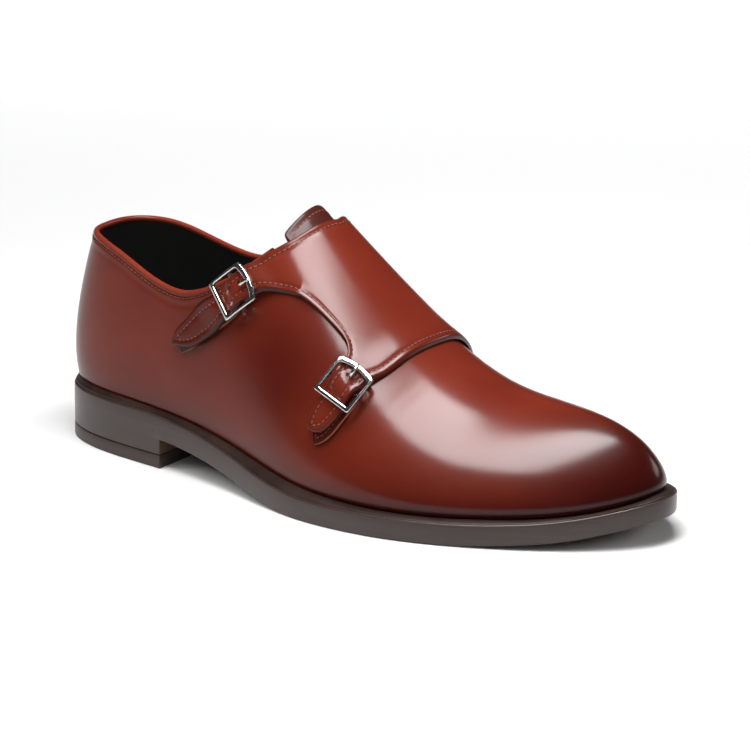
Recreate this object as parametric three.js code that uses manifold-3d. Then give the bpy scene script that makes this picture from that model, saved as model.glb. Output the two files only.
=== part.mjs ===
// Double monk strap shoe, right shoe, standing empty on its sole.
// Millimetres, +Z up, toe towards +X, lateral side (with the buckles) towards -Y.
// Everything above the sole comes from one surface, the last, worked out from the table of sections below.
import * as THREE from 'three';
import { mergeVertices } from 'three/addons/utils/BufferGeometryUtils.js';
import { TessellateModifier } from 'three/addons/modifiers/TessellateModifier.js';
import Module from 'manifold-3d';

const wasm = await Module();
wasm.setup();

// ---------------------------------------------------------------- driving sizes
const LENGTH = 302; // sole, back of the heel to the toe tip
const GAP = 0.3; // clearance between neighbouring pieces
const WALL = 2; // upper, leather and lining together
const WELT_THICK = 3.4;
const INSOLE_RISE = 2.5; // insole's surface above the feather line
const LIFT_THICK = 6; // top lift of the heel
const BREAST_X = 68.5; // front face of the heel
const BINDING_HEIGHT = 3.4;
const BINDING_THICK = 2.6;
const PANEL_THICK = 1.8;
const TAB_THICK = 1.2;
const TONGUE_THICK = 1.8;
const TONGUE_GAP = 1.0; // under the upper's facets

// ---------------------------------------------------------------- the last
// One row per section, heel to toe. spineX, spineY: where the section's two curves meet on the ridge.
// latX..medY: control points of the sole's edge, lateral and medial. seat: height of the feather line.
// margin: how far the feather line lies inside the sole's edge. Bulges, plan and full: roundness of the wall.
const SECTION_COLUMNS = ['spineX', 'spineY', 'latX', 'latY', 'medX', 'medY', 'seat', 'margin',
  'latBulge', 'medBulge', 'plan', 'latFull', 'medFull'];
const SECTIONS = {
  heelBack: [58, 0, 0, 0, 0, 0, 28.5, 2.2, 2.2, 2.2, 0.8, 2.0, 2.0],
  heelCorner: [61, 0, 5, -18.5, 5, 19, 28.5, 2.2, 2.4, 2.4, 1.1, 2.0, 2.0],
  heelSide: [70, 0, 30, -32.5, 30, 33, 28.3, 2.4, 2.5, 3.0, 1.9, 2.0, 2.0],
  breast: [88, 0.3, 76, -38, 68, 33.5, 26.8, 3.2, 2.0, 3.5, 2.1, 1.9, 2.0],
  waist: [118, 0.8, 116, -48, 112, 33, 20.0, 4.0, 2.0, 4.0, 2.1, 1.85, 1.95],
  preBall: [150, 1.5, 152, -63, 160, 42, 12.8, 5.0, 2.0, 3.0, 2.1, 1.8, 1.9],
  ball: [180, 3, 196, -65, 203, 49, 10.8, 5.2, 1.5, 2.0, 2.1, 1.75, 1.85],
  forepart: [206, 4.5, 233, -54, 243, 48, 11.2, 5.2, 1.5, 1.5, 2.1, 1.75, 1.8],
  toeSide: [228, 6, 273, -34, 272, 41, 13.6, 5.2, 1.5, 1.5, 2.2, 1.8, 1.85],
  toeCorner: [244, 7, 297, -12, 294, 23, 19.8, 5.0, 1.0, 1.0, 2.2, 1.9, 1.9],
  toeTip: [252, 7, 303, 5.5, 303, 5.5, 23.0, 5.0, 1.0, 1.0, 2.2, 1.9, 1.9],
};
// Height of the ridge over the instep, every 20 mm from x = 20.
const RIDGE_START = 20;
const RIDGE_STEP = 20;
const RIDGE = [188, 183, 176, 164, 146, 127.5, 110, 92.5, 75.5, 61, 53, 50.5, 49.5, 49, 49];
// Sole from the side. bottom: underside; below 0 it is flattened onto the ground. edge: top of the sole's side.
const SOLE_PROFILE = [
  { x: 0, bottom: 14.6, edge: 24.6 },
  { x: 40, bottom: 14.4, edge: 24.6 },
  { x: 68, bottom: 13.2, edge: 24.1 },
  { x: 85, bottom: 11.6, edge: 22.3 },
  { x: 100, bottom: 9.4, edge: 19.8 },
  { x: 115, bottom: 6.3, edge: 16.7 },
  { x: 130, bottom: 3.1, edge: 13.4 },
  { x: 145, bottom: 0.9, edge: 10.9 },
  { x: 160, bottom: -0.2, edge: 9.8 },
  { x: 190, bottom: -0.3, edge: 9.6 },
  { x: 222, bottom: -0.2, edge: 9.6 },
  { x: 240, bottom: 0.8, edge: 10.2 },
  { x: 255, bottom: 2.0, edge: 11.3 },
  { x: 270, bottom: 3.8, edge: 13.0 },
  { x: 285, bottom: 7.0, edge: 16.0 },
  { x: 303, bottom: 11.6, edge: 20.4 },
];
// Topline seen from the side. Past x = 158 it lies above the ridge, so the upper is closed there.
const TOPLINE = [
  { x: -10, lateral: 97, medial: 97 },
  { x: 8, lateral: 97.5, medial: 97.5 },
  { x: 20, lateral: 97, medial: 97.3 },
  { x: 31, lateral: 95.2, medial: 96 },
  { x: 42, lateral: 92.2, medial: 93.2 },
  { x: 55, lateral: 87.2, medial: 89.2 },
  { x: 67, lateral: 83.6, medial: 86.4 },
  { x: 77, lateral: 82.5, medial: 85.6 },
  { x: 86, lateral: 84.4, medial: 87.4 },
  { x: 95, lateral: 88.4, medial: 91.2 },
  { x: 105, lateral: 94.6, medial: 97 },
  { x: 115, lateral: 102.5, medial: 103.6 },
  { x: 124, lateral: 109.5, medial: 109.5 },
  { x: 132, lateral: 110.5, medial: 110.5 },
  { x: 145, lateral: 104.5, medial: 104.5 },
  { x: 158, lateral: 97, medial: 97 },
  { x: 170, lateral: 93, medial: 93 },
];
const THROAT_X = 158;

const LAST_ROWS = Object.values(SECTIONS);
const TOE = LAST_ROWS.length - 1; // ring position of the toe tip; the heel's back is 0 and 2 * TOE

function ringColumn(lateral, medial = lateral) {
  const [a, b] = [SECTION_COLUMNS.indexOf(lateral), SECTION_COLUMNS.indexOf(medial)];
  const back = LAST_ROWS.slice(1, TOE).reverse();
  return [...LAST_ROWS.map((row) => row[a]), ...back.map((row) => row[b])];
}

// Uniform cubic B-spline through control values, closed on itself or held at its ends.
function blend(values, position, closed = true) {
  const cell = Math.floor(position);
  const f = position - cell;
  const weights = [(1 - f) ** 3, 3 * f ** 3 - 6 * f * f + 4, -3 * f ** 3 + 3 * f * f + 3 * f + 1, f ** 3];
  const count = values.length;
  return weights.reduce((sum, weight, k) => {
    const i = cell - 1 + k;
    const index = closed ? ((i % count) + count) % count : Math.min(Math.max(i, 0), count - 1);
    return sum + (weight / 6) * values[index];
  }, 0);
}

// Natural cubic spline through points of a table.
function splineThrough(table, column) {
  const xs = table.map((row) => row.x);
  const ys = table.map((row) => row[column]);
  const last = xs.length - 1;
  const bend = new Array(last + 1).fill(0);
  const work = new Array(last + 1).fill(0);
  for (let i = 1; i < last; i += 1) {
    const span = xs[i + 1] - xs[i - 1];
    const ratio = (xs[i] - xs[i - 1]) / span;
    const pivot = ratio * bend[i - 1] + 2;
    bend[i] = (ratio - 1) / pivot;
    const slopes = (ys[i + 1] - ys[i]) / (xs[i + 1] - xs[i]) - (ys[i] - ys[i - 1]) / (xs[i] - xs[i - 1]);
    work[i] = ((6 * slopes) / span - ratio * work[i - 1]) / pivot;
  }
  for (let i = last - 1; i >= 0; i -= 1) bend[i] = bend[i] * bend[i + 1] + work[i];
  return (x) => {
    let i = 0;
    while (i < last - 1 && xs[i + 1] < x) i += 1;
    const step = xs[i + 1] - xs[i];
    const [a, b] = [(xs[i + 1] - x) / step, (x - xs[i]) / step];
    return a * ys[i] + b * ys[i + 1] + (((a ** 3 - a) * bend[i] + (b ** 3 - b) * bend[i + 1]) * step * step) / 6;
  };
}

const column = Object.fromEntries(['spineX', 'spineY', 'seat', 'margin', 'plan'].map((n) => [n, ringColumn(n)]));
column.x = ringColumn('latX', 'medX');
column.y = ringColumn('latY', 'medY');
column.bulge = ringColumn('latBulge', 'medBulge');
column.full = ringColumn('latFull', 'medFull');

const BACK_X = blend(column.x, 0);
const STRETCH = LENGTH / (blend(column.x, TOE) - BACK_X);
const BULGE_HEIGHT = 0.16; // share of the wall's height at which it bulges most

// The sole's edge at a ring position, moved inwards by inset.
function edgePoint(u, inset = 0) {
  const at = (v) => [(blend(column.x, v) - BACK_X) * STRETCH, blend(column.y, v)];
  const [x, y] = at(u);
  const [ax, ay] = at(u - 0.001);
  const [bx, by] = at(u + 0.001);
  const length = Math.hypot(bx - ax, by - ay);
  return [x - ((by - ay) / length) * inset, y + ((bx - ax) / length) * inset];
}

const ridgeHeight = (x) => blend(RIDGE, (x - RIDGE_START) / RIDGE_STEP, false);
const marginAt = (u) => blend(column.margin, u);
const seatAt = (u) => blend(column.seat, u);

// A point of the last: u runs round the feather line, t from the feather line (0) to the ridge (1),
// and lift is the distance outside the upper's surface, negative inside it.
function lastPoint(u, t, lift = 0) {
  const [footX, footY] = edgePoint(u, marginAt(u) - lift);
  const [outX, outY] = [footX - blend(column.spineX, u), footY - blend(column.spineY, u)];
  const reach = Math.hypot(outX, outY);
  const angle = (t * Math.PI) / 2;
  const inwards = 1 - Math.max(Math.cos(angle), 0) ** (2 / blend(column.plan, u));
  const rise = Math.sin(angle) ** (2 / blend(column.full, u));
  const swell = (rise / BULGE_HEIGHT) * Math.exp(1 - rise / BULGE_HEIGHT) * (1 - rise);
  const bulge = (blend(column.bulge, u) * swell) / reach;
  const x = footX - outX * (inwards - bulge);
  const y = footY - outY * (inwards - bulge);
  const seat = seatAt(u);
  return new THREE.Vector3(x, y, seat + (ridgeHeight(x) + lift - seat) * rise);
}

// Root of a rising function by halving.
function solve(f, low, high) {
  let [a, b] = [low, high];
  for (let i = 0; i < 34; i += 1) {
    const middle = (a + b) / 2;
    if (f(middle) < 0) a = middle;
    else b = middle;
  }
  return (a + b) / 2;
}

// Leather is laid over the last by place: x along the shoe, and girth, the distance over the surface from
// the ridge down the section at that x, negative on the lateral side. The grid holds ring positions.
const GRID = { start: 44, end: 284, step: 4, rows: 48 };
function girthGrid(side) {
  const columns = [];
  for (let x = GRID.start; x <= GRID.end; x += GRID.step) {
    const places = [];
    let girth = 0;
    let previous = null;
    for (let k = 0; k <= GRID.rows; k += 1) {
      const t = 1 - k / GRID.rows;
      const u = side < 0
        ? solve((v) => lastPoint(v, t).x - x, 0, TOE)
        : 2 * TOE - solve((v) => lastPoint(2 * TOE - v, t).x - x, 0, TOE);
      const point = lastPoint(u, t);
      if (previous) girth += Math.hypot(point.y - previous.y, point.z - previous.z);
      places.push({ girth, u, t });
      previous = point;
    }
    columns.push(places);
  }
  return columns;
}
const GIRTHS = { lateral: girthGrid(-1), medial: girthGrid(1) };

function onLast(x, girth, lift) {
  const columns = girth < 0 ? GIRTHS.lateral : GIRTHS.medial;
  const position = THREE.MathUtils.clamp((x - GRID.start) / GRID.step, 0, columns.length - 1.001);
  const cell = Math.floor(position);
  const place = (places) => {
    let k = 0;
    while (k < GRID.rows - 1 && places[k + 1].girth < Math.abs(girth)) k += 1;
    const share = (Math.abs(girth) - places[k].girth) / (places[k + 1].girth - places[k].girth);
    const mix = (key) => THREE.MathUtils.lerp(places[k][key], places[k + 1][key], share);
    return [mix('u'), mix('t')];
  };
  const [a, b] = [place(columns[cell]), place(columns[cell + 1])];
  const f = position - cell;
  return lastPoint(a[0] + (b[0] - a[0]) * f, a[1] + (b[1] - a[1]) * f, lift);
}

// ---------------------------------------------------------------- making solids
function geometryOf(points, triangles) {
  const geometry = new THREE.BufferGeometry();
  geometry.setAttribute('position', new THREE.Float32BufferAttribute(points.flatMap((p) => [p.x, p.y, p.z]), 3));
  geometry.setIndex(triangles.flat());
  return geometry;
}

// Merges vertices, and leaves out triangles that have closed up to a line.
function closed(geometry, tolerance = 0.002) {
  const bare = geometry.clone();
  bare.deleteAttribute('normal');
  bare.deleteAttribute('uv');
  const merged = mergeVertices(bare, tolerance);
  const index = merged.getIndex().array;
  const kept = [];
  for (let i = 0; i < index.length; i += 3) {
    const [a, b, c] = [index[i], index[i + 1], index[i + 2]];
    if (a !== b && b !== c && c !== a) kept.push(a, b, c);
  }
  merged.setIndex(kept);
  return merged;
}

function toSolid(geometry) {
  const merged = closed(geometry);
  return new wasm.Manifold(new wasm.Mesh({
    numProp: 3,
    vertProperties: new Float32Array(merged.getAttribute('position').array),
    triVerts: new Uint32Array(merged.getIndex().array),
  }));
}

function fromSolid(solid) {
  const mesh = solid.getMesh();
  const geometry = new THREE.BufferGeometry();
  geometry.setAttribute('position', new THREE.Float32BufferAttribute(mesh.vertProperties, 3));
  geometry.setIndex(Array.from(mesh.triVerts));
  return geometry;
}

const union = (geometries) => fromSolid(geometries.map(toSolid).reduce((all, next) => all.add(next)));

// Quads between rows of points; faces look towards the side from which a row runs right and rows go up.
function sheet(rows, points, triangles, flip = false) {
  const start = points.length;
  const width = rows[0].length;
  rows.forEach((row) => points.push(...row));
  for (let i = 0; i < rows.length - 1; i += 1) {
    for (let j = 0; j < width - 1; j += 1) {
      const a = start + i * width + j;
      const [b, c, d] = [a + 1, a + width + 1, a + width];
      if (flip) triangles.push([a, c, b], [a, d, c]);
      else triangles.push([a, b, c], [a, c, d]);
    }
  }
}

// A solid between two grids of points with the same rows: top above, bottom below.
function between(top, bottom) {
  const points = [];
  const triangles = [];
  const last = top.length - 1;
  const edge = (grid, j) => grid.map((row) => row[j]);
  sheet(top, points, triangles);
  sheet(bottom, points, triangles, true);
  sheet([bottom[0], top[0]], points, triangles);
  sheet([bottom[last], top[last]], points, triangles, true);
  sheet([edge(bottom, 0), edge(top, 0)], points, triangles, true);
  const end = top[0].length - 1;
  sheet([edge(bottom, end), edge(top, end)], points, triangles);
  return closed(geometryOf(points, triangles));
}

// A ring whose section, a closed loop of points, is given at each position round the shoe.
function ring(sectionAt, steps) {
  const rows = [];
  for (let i = 0; i <= steps; i += 1) {
    const section = sectionAt(((i % steps) / steps) * 2 * TOE);
    rows.push([...section, section[0]]);
  }
  const points = [];
  const triangles = [];
  sheet(rows, points, triangles);
  return closed(geometryOf(points, triangles));
}

// A flat outline drawn in (x, girth), given thickness and laid over the last at a height that may vary.
function laidLeather(shape, thickness, liftAt, longestEdge) {
  const flat = new THREE.ExtrudeGeometry(shape, { depth: thickness, bevelEnabled: false, curveSegments: 1 });
  flat.deleteAttribute('normal');
  flat.deleteAttribute('uv');
  const fine = new TessellateModifier(longestEdge, 12).modify(flat);
  const position = fine.getAttribute('position');
  for (let i = 0; i < position.count; i += 1) {
    const [x, girth, height] = [position.getX(i), position.getY(i), position.getZ(i)];
    const point = onLast(x, girth, liftAt(x, girth) + height);
    position.setXYZ(i, point.x, point.y, point.z);
  }
  return closed(fine, 0.01);
}

// ---------------------------------------------------------------- sole and heel
const soleBottom = splineThrough(SOLE_PROFILE, 'bottom');
const soleEdge = splineThrough(SOLE_PROFILE, 'edge');
const outsoleTop = (x) => soleEdge(x) - WELT_THICK - GAP;
const outsoleBottom = (x) => Math.max(soleBottom(x), 0);

// Rows of points across the sole, from x to x, inside the edge by insetAt(u), at height heightAt(x, u).
function across(insetAt, heightAt, { from = 0, to = LENGTH, rows = 40, cells = 6 } = {}) {
  const point = (u) => edgePoint(u, insetAt(u));
  const start = Math.max(from, point(0)[0]);
  const end = Math.min(to, point(TOE)[0]);
  const full = end < to;
  const grid = [];
  for (let i = 0; i <= rows; i += 1) {
    const share = full ? (1 - Math.cos((Math.PI * i) / rows)) / 2 : 1 - Math.cos((Math.PI * i) / rows / 2);
    const x = start + (end - start) * share;
    const lateralU = solve((u) => point(u)[0] - x, 0, TOE);
    const medialU = solve((u) => point(2 * TOE - u)[0] - x, 0, TOE);
    const [lateral, medial] = [point(lateralU)[1], point(2 * TOE - medialU)[1]];
    const row = [];
    for (let j = 0; j <= cells; j += 1) {
      const u = THREE.MathUtils.lerp(lateralU, medialU, j / cells);
      const y = i === 0 || (full && i === rows) ? (lateral + medial) / 2
        : THREE.MathUtils.lerp(medial, lateral, j / cells);
      row.push(new THREE.Vector3(x, y, heightAt(x, u)));
    }
    grid.push(row);
  }
  return grid;
}

function plate(insetAt, topAt, bottomAt, options) {
  return between(across(insetAt, topAt, options), across(insetAt, bottomAt, options));
}

const flush = () => 0; // at the sole's edge
const outsole = () => plate(flush, outsoleTop, outsoleBottom);
const heelEnd = { to: BREAST_X, rows: 14 };
const heelStack = () => plate(flush, (x) => soleBottom(x) - GAP, () => LIFT_THICK + GAP, heelEnd);
const topLift = () => plate(flush, () => LIFT_THICK, () => 0, heelEnd);
const insideWall = (u) => marginAt(u) + WALL + GAP;
const insole = () => plate(insideWall, (x, u) => seatAt(u) + INSOLE_RISE, (x) => outsoleTop(x) + GAP);

// The welt's section: flat below, its top sloping up from the sole's edge to the feather line.
function welt() {
  return ring((u) => {
    const inner = marginAt(u) + WALL;
    const corner = (inset, height) => {
      const [x, y] = edgePoint(u, inset);
      return new THREE.Vector3(x, y, height(x));
    };
    return [
      corner(0, (x) => outsoleTop(x) + GAP),
      corner(inner, (x) => outsoleTop(x) + GAP),
      corner(inner, () => seatAt(u) - GAP),
      corner(marginAt(u) - 0.6, () => seatAt(u) - GAP),
      corner(0, (x) => soleEdge(x)),
    ];
  }, 88);
}

// ---------------------------------------------------------------- upper
const lateralTopline = splineThrough(TOPLINE, 'lateral');
const medialTopline = splineThrough(TOPLINE, 'medial');
const isClosed = (u) => blend(column.spineX, u) >= THROAT_X;

// How far up its section the upper reaches, and the same for a line a distance below the topline.
function topOf(u, below = 0) {
  if (isClosed(u)) return 1;
  const topline = u < TOE ? lateralTopline : medialTopline;
  const over = (t) => {
    const point = lastPoint(u, t);
    return point.z - (topline(point.x) - below);
  };
  return over(1) <= 0 ? 1 : solve(over, 0, 1);
}

const UPPER_COLUMNS = 76;
const UPPER_ROWS = 11;
function upper() {
  const columns = [];
  for (let i = 0; i <= UPPER_COLUMNS; i += 1) columns.push(((i % UPPER_COLUMNS) / UPPER_COLUMNS) * 2 * TOE);
  const wall = (lift) => columns.map((u) => {
    const top = topOf(u, BINDING_HEIGHT + 2 * GAP);
    const row = [];
    for (let k = 0; k <= UPPER_ROWS; k += 1) row.push(lastPoint(u, (top * k) / UPPER_ROWS, lift));
    return row;
  });
  const [outer, inner] = [wall(0), wall(-WALL)];
  const points = [];
  const triangles = [];
  sheet(outer, points, triangles, true);
  sheet(inner, points, triangles);
  sheet([outer.map((row) => row[0]), inner.map((row) => row[0])], points, triangles, true);
  columns.slice(0, -1).forEach((u, i) => {
    if (topOf(u, BINDING_HEIGHT + 2 * GAP) === 1 && topOf(columns[i + 1], BINDING_HEIGHT + 2 * GAP) === 1) return;
    const rim = (row) => row[UPPER_ROWS];
    sheet([[rim(outer[i]), rim(outer[i + 1])], [rim(inner[i]), rim(inner[i + 1])]], points, triangles);
  });
  return closed(geometryOf(points, triangles));
}

// Rolled binding round the topline, from one end under the strap panel round the heel to the other.
const BINDING_END = 4.1; // ring position of its ends, from the heel's back
const BINDING_STEPS = 56;
const BINDING_SIDES = 8;
function collarBinding() {
  const rows = [];
  for (let i = 0; i <= BINDING_STEPS; i += 1) {
    const turn = ((2 * i) / BINDING_STEPS - 1) * BINDING_END;
    const u = (turn + 2 * TOE) % (2 * TOE);
    const t = topOf(u, BINDING_HEIGHT / 2);
    const centre = lastPoint(u, t, -WALL / 2);
    const out = lastPoint(u, t, 0).sub(centre).normalize();
    const up = lastPoint(u, t + 0.01, -WALL / 2).sub(centre);
    up.addScaledVector(out, -up.dot(out)).normalize();
    const row = [];
    for (let k = 0; k <= BINDING_SIDES; k += 1) {
      const angle = ((k % BINDING_SIDES) / BINDING_SIDES) * 2 * Math.PI;
      row.push(centre.clone()
        .addScaledVector(out, (BINDING_THICK / 2) * Math.cos(angle))
        .addScaledVector(up, (BINDING_HEIGHT / 2) * Math.sin(angle)));
    }
    rows.push(row);
  }
  const points = [];
  const triangles = [];
  sheet(rows, points, triangles, true);
  for (const [row, flip] of [[rows[0], false], [rows[BINDING_STEPS], true]]) {
    const middle = row.slice(0, -1).reduce((sum, p) => sum.add(p), new THREE.Vector3()).divideScalar(BINDING_SIDES);
    sheet([row, row.map(() => middle)], points, triangles, flip);
  }
  return closed(geometryOf(points, triangles));
}

// ---------------------------------------------------------------- straps
// Outlines in (x, girth). Each list is one edge of the leather, run through smoothly.
const PANEL_EDGES = {
  topLateral: [[136, 0], [134.5, -9], [130.5, -23], [121, -40], [113.5, -53]],
  upperArmBack: [[113.5, -53], [106.5, -66], [99.5, -78], [90, -91], [83, -103], [78, -112], [76.5, -118]],
  upperArmFront: [[76.5, -118], [84, -113], [90, -107.5], [96, -99.5], [103, -89], [108, -80], [113, -71.5],
    [119.5, -61]],
  betweenArms: [[119.5, -61], [124.5, -54.5], [131.5, -48], [141, -42.3], [150, -40.3], [159, -40], [166, -41.3],
    [169, -45]],
  lowerArmBack: [[169, -45], [168.4, -50], [166.7, -57], [164, -66], [161.2, -75], [160.8, -83]],
  lowerArmFront: [[160.8, -83], [166, -80.5], [171, -73.5], [174.4, -65.5], [177.4, -56], [180.9, -46]],
  front: [[180.9, -46], [184.8, -36], [187.3, -24], [189.5, -10], [190.5, 0], [190, 16], [187.5, 34], [181, 56],
    [172.5, 72], [163.5, 85]],
  sewnTabEnd: [[163.5, 85], [146, 80]],
  sewnTabBack: [[146, 80], [149, 71]],
  medialBack: [[149, 71], [150.5, 64], [147, 55], [138, 46], [129, 39.5], [121, 34]],
  topMedial: [[121, 34], [127.5, 24], [133, 12], [136, 0]],
};
const UPPER_TAB_EDGES = {
  back: [[106, -66], [98, -77], [90, -88], [84, -100], [80, -112], [80.5, -121]],
  front: [[80.5, -121], [90, -112], [97, -103.5], [104, -93], [110, -83], [115.5, -74], [118, -68]],
  root: [[118, -68], [106, -66]],
};
const LOWER_TAB_EDGES = {
  back: [[166, -53], [163, -64], [161.5, -74], [161.5, -84], [164.5, -89]],
  front: [[164.5, -89], [171.5, -81], [175.5, -73], [178.8, -64], [181, -55]],
  root: [[181, -55], [166, -53]],
};
const TONGUE_EDGES = {
  top: [[122, -27], [124, -13], [124.8, 0], [124, 13], [122, 27]],
  medialSide: [[122, 27], [133, 25], [150, 18], [172, 12]],
  front: [[172, 12], [172, -12]],
  lateralSide: [[172, -12], [150, -18], [133, -25], [122, -27]],
};

function outlineOf(edges) {
  const lists = Object.values(edges);
  const shape = new THREE.Shape();
  shape.moveTo(...lists[0][0]);
  for (const list of lists) {
    const rest = list.slice(1).map(([x, girth]) => new THREE.Vector2(x, girth));
    if (rest.length > 1) shape.splineThru(rest);
    else shape.lineTo(rest[0].x, rest[0].y);
  }
  return shape;
}

const BUCKLES = {
  upper: { x: 110.3, girth: -65.2, towards: [117.8, -53.2] },
  lower: { x: 171.2, girth: -56.2, towards: [174, -46.2] },
};
const PANEL_LIFT = 0.6;
const BUCKLE_LIFT = 3.6; // the arms rise to pass over the buckles' centre bars
const TAIL_LIFT = 2; // and the tails lie over their tabs
const ARMS = {
  upper: { root: -44, crest: -56, afterBuckle: -80, tail: -95 },
  lower: { root: -37, crest: -47, afterBuckle: -65, tail: -74 },
};

function panelLift(x, girth) {
  const { root, crest, afterBuckle, tail } = x < 140 ? ARMS.upper : ARMS.lower;
  const rise = THREE.MathUtils.smoothstep(-girth, -root, -crest);
  const fall = THREE.MathUtils.smoothstep(-girth, -afterBuckle, -tail);
  return PANEL_LIFT + (BUCKLE_LIFT - PANEL_LIFT) * rise - (BUCKLE_LIFT - TAIL_LIFT) * fall;
}

const strapPanel = () => laidLeather(outlineOf(PANEL_EDGES), PANEL_THICK, panelLift, 9);
const buckleTab = (edges) => laidLeather(outlineOf(edges), TAB_THICK, () => GAP, 9);
const tongue = () => laidLeather(outlineOf(TONGUE_EDGES), TONGUE_THICK, () => -WALL - TONGUE_GAP - TONGUE_THICK, 10);

// ---------------------------------------------------------------- buckles
const BUCKLE = { length: 18, width: 19, wire: 1.9, thick: 1.8, arch: 1.6, height: 5.2, barHeight: 1.6, bar: 1.1 };
const PRONG = { length: 12.5, width: 1.6, thick: 1.2, start: -1.5 };

// Frame of a buckle: arched at the +X end, its underside at BUCKLE.height, its bar under the strap.
function buckleFrame() {
  const { length, width, wire, thick, arch, height, barHeight, bar } = BUCKLE;
  const loop = (inset) => {
    const [x, y] = [length / 2 - inset, width / 2 - inset];
    const shape = new THREE.Shape();
    shape.moveTo(-x, -y);
    shape.lineTo(x, -y);
    shape.quadraticCurveTo(x + 2 * arch, 0, x, y);
    shape.lineTo(-x, y);
    shape.closePath();
    return shape;
  };
  const outer = loop(0);
  outer.holes.push(loop(wire));
  const frame = new THREE.ExtrudeGeometry(outer, { depth: thick, bevelEnabled: false, curveSegments: 8 });
  frame.translate(0, 0, height);
  const post = height - barHeight + thick / 2;
  const centre = new THREE.BoxGeometry(wire, width - wire, bar).translate(0, 0, barHeight + bar / 2);
  const posts = [-1, 1].map((side) => new THREE.BoxGeometry(wire, wire * 0.8, post)
    .translate(0, (side * (width - wire)) / 2, barHeight + post / 2));
  return union([frame, centre, ...posts]);
}

function prong() {
  const { length, width, thick, start } = PRONG;
  const rest = BUCKLE.height + BUCKLE.thick + GAP;
  return closed(new THREE.BoxGeometry(length, width, thick).translate(start + length / 2, 0, rest + thick / 2));
}

const NORMAL_STEP = 5; // distance over which the surface's slope is taken

// Turns a piece drawn flat, with its +X end towards the instep, onto the last at a buckle's place.
function atBuckle(mesh, { x, girth, towards }) {
  const origin = onLast(x, girth, 0);
  const forwards = onLast(x + NORMAL_STEP, girth, 0).sub(onLast(x - NORMAL_STEP, girth, 0));
  const down = onLast(x, girth - NORMAL_STEP, 0).sub(onLast(x, girth + NORMAL_STEP, 0));
  const out = new THREE.Vector3().crossVectors(down, forwards).normalize();
  const along = onLast(...towards, 0).sub(origin);
  along.addScaledVector(out, -along.dot(out)).normalize();
  const side = new THREE.Vector3().crossVectors(out, along);
  mesh.setRotationFromMatrix(new THREE.Matrix4().makeBasis(along, side, out));
  mesh.position.copy(origin);
  return mesh;
}

// ---------------------------------------------------------------- materials and the finished shoe
const finish = (color, roughness, metalness = 0) => new THREE.MeshStandardMaterial({ color, roughness, metalness });

function piece(name, geometry, material) {
  const mesh = new THREE.Mesh(geometry, material);
  mesh.name = name;
  return mesh;
}

const shoe = new THREE.Group();
shoe.add(
  piece('outsole', outsole(), finish(0x564640, 0.45)),
  piece('heel_stack', heelStack(), finish(0x5a4c46, 0.45)),
  piece('top_lift', topLift(), finish(0x4a3e3a, 0.6)),
  piece('welt', welt(), finish(0x2c1a12, 0.5)),
  piece('insole', insole(), finish(0x1c1613, 0.8)),
  piece('upper', upper(), finish(0x7a2c1a, 0.25)),
  piece('collar_binding', collarBinding(), finish(0x8a3420, 0.3)),
  piece('tongue', tongue(), finish(0x5a2218, 0.35)),
  piece('strap_panel', strapPanel(), finish(0x82301c, 0.25)),
  piece('upper_buckle_tab', buckleTab(UPPER_TAB_EDGES), finish(0x6e2818, 0.3)),
  piece('lower_buckle_tab', buckleTab(LOWER_TAB_EDGES), finish(0x6e2818, 0.3)),
);
for (const [name, place] of Object.entries(BUCKLES)) {
  const nickel = finish(0xc8c8c8, 0.2, 1);
  shoe.add(atBuckle(piece(`${name}_buckle`, buckleFrame(), nickel), place));
  shoe.add(atBuckle(piece(`${name}_prong`, prong(), nickel), place));
}

// The origin is under the middle of the whole shoe, on the ground.
const extent = new THREE.Box3().setFromObject(shoe, true);
shoe.position.set(-(extent.min.x + extent.max.x) / 2, -(extent.min.y + extent.max.y) / 2, -extent.min.z);

export default shoe;
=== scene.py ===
"""A man's double monk strap shoe for the right foot: leather, stitching, metal and sole."""
import logging
import math
from dataclasses import dataclass, field
from enum import Enum
from typing import Callable, Sequence

import bmesh
import bpy
import numpy as np
from bmesh.types import BMesh
from mathutils import Matrix, Vector


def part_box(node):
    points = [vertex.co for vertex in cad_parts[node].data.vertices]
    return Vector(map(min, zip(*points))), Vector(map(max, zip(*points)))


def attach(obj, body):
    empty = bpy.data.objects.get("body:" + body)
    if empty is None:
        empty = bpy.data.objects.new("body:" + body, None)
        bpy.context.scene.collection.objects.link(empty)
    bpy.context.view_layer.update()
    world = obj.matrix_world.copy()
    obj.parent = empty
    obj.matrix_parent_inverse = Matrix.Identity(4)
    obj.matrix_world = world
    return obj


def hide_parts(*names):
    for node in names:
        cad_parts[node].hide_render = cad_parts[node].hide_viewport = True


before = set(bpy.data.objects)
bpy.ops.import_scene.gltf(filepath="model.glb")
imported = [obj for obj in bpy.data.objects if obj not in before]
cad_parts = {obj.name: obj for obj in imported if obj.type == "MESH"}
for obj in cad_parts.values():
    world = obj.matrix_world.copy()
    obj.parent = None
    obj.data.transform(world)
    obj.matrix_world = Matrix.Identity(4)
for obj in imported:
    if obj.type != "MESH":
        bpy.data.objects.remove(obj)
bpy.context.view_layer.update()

LOG = logging.getLogger("monk_shoe")
MM = 0.001
BODY = "root"
Place = Callable[[np.ndarray, np.ndarray], np.ndarray]


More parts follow.
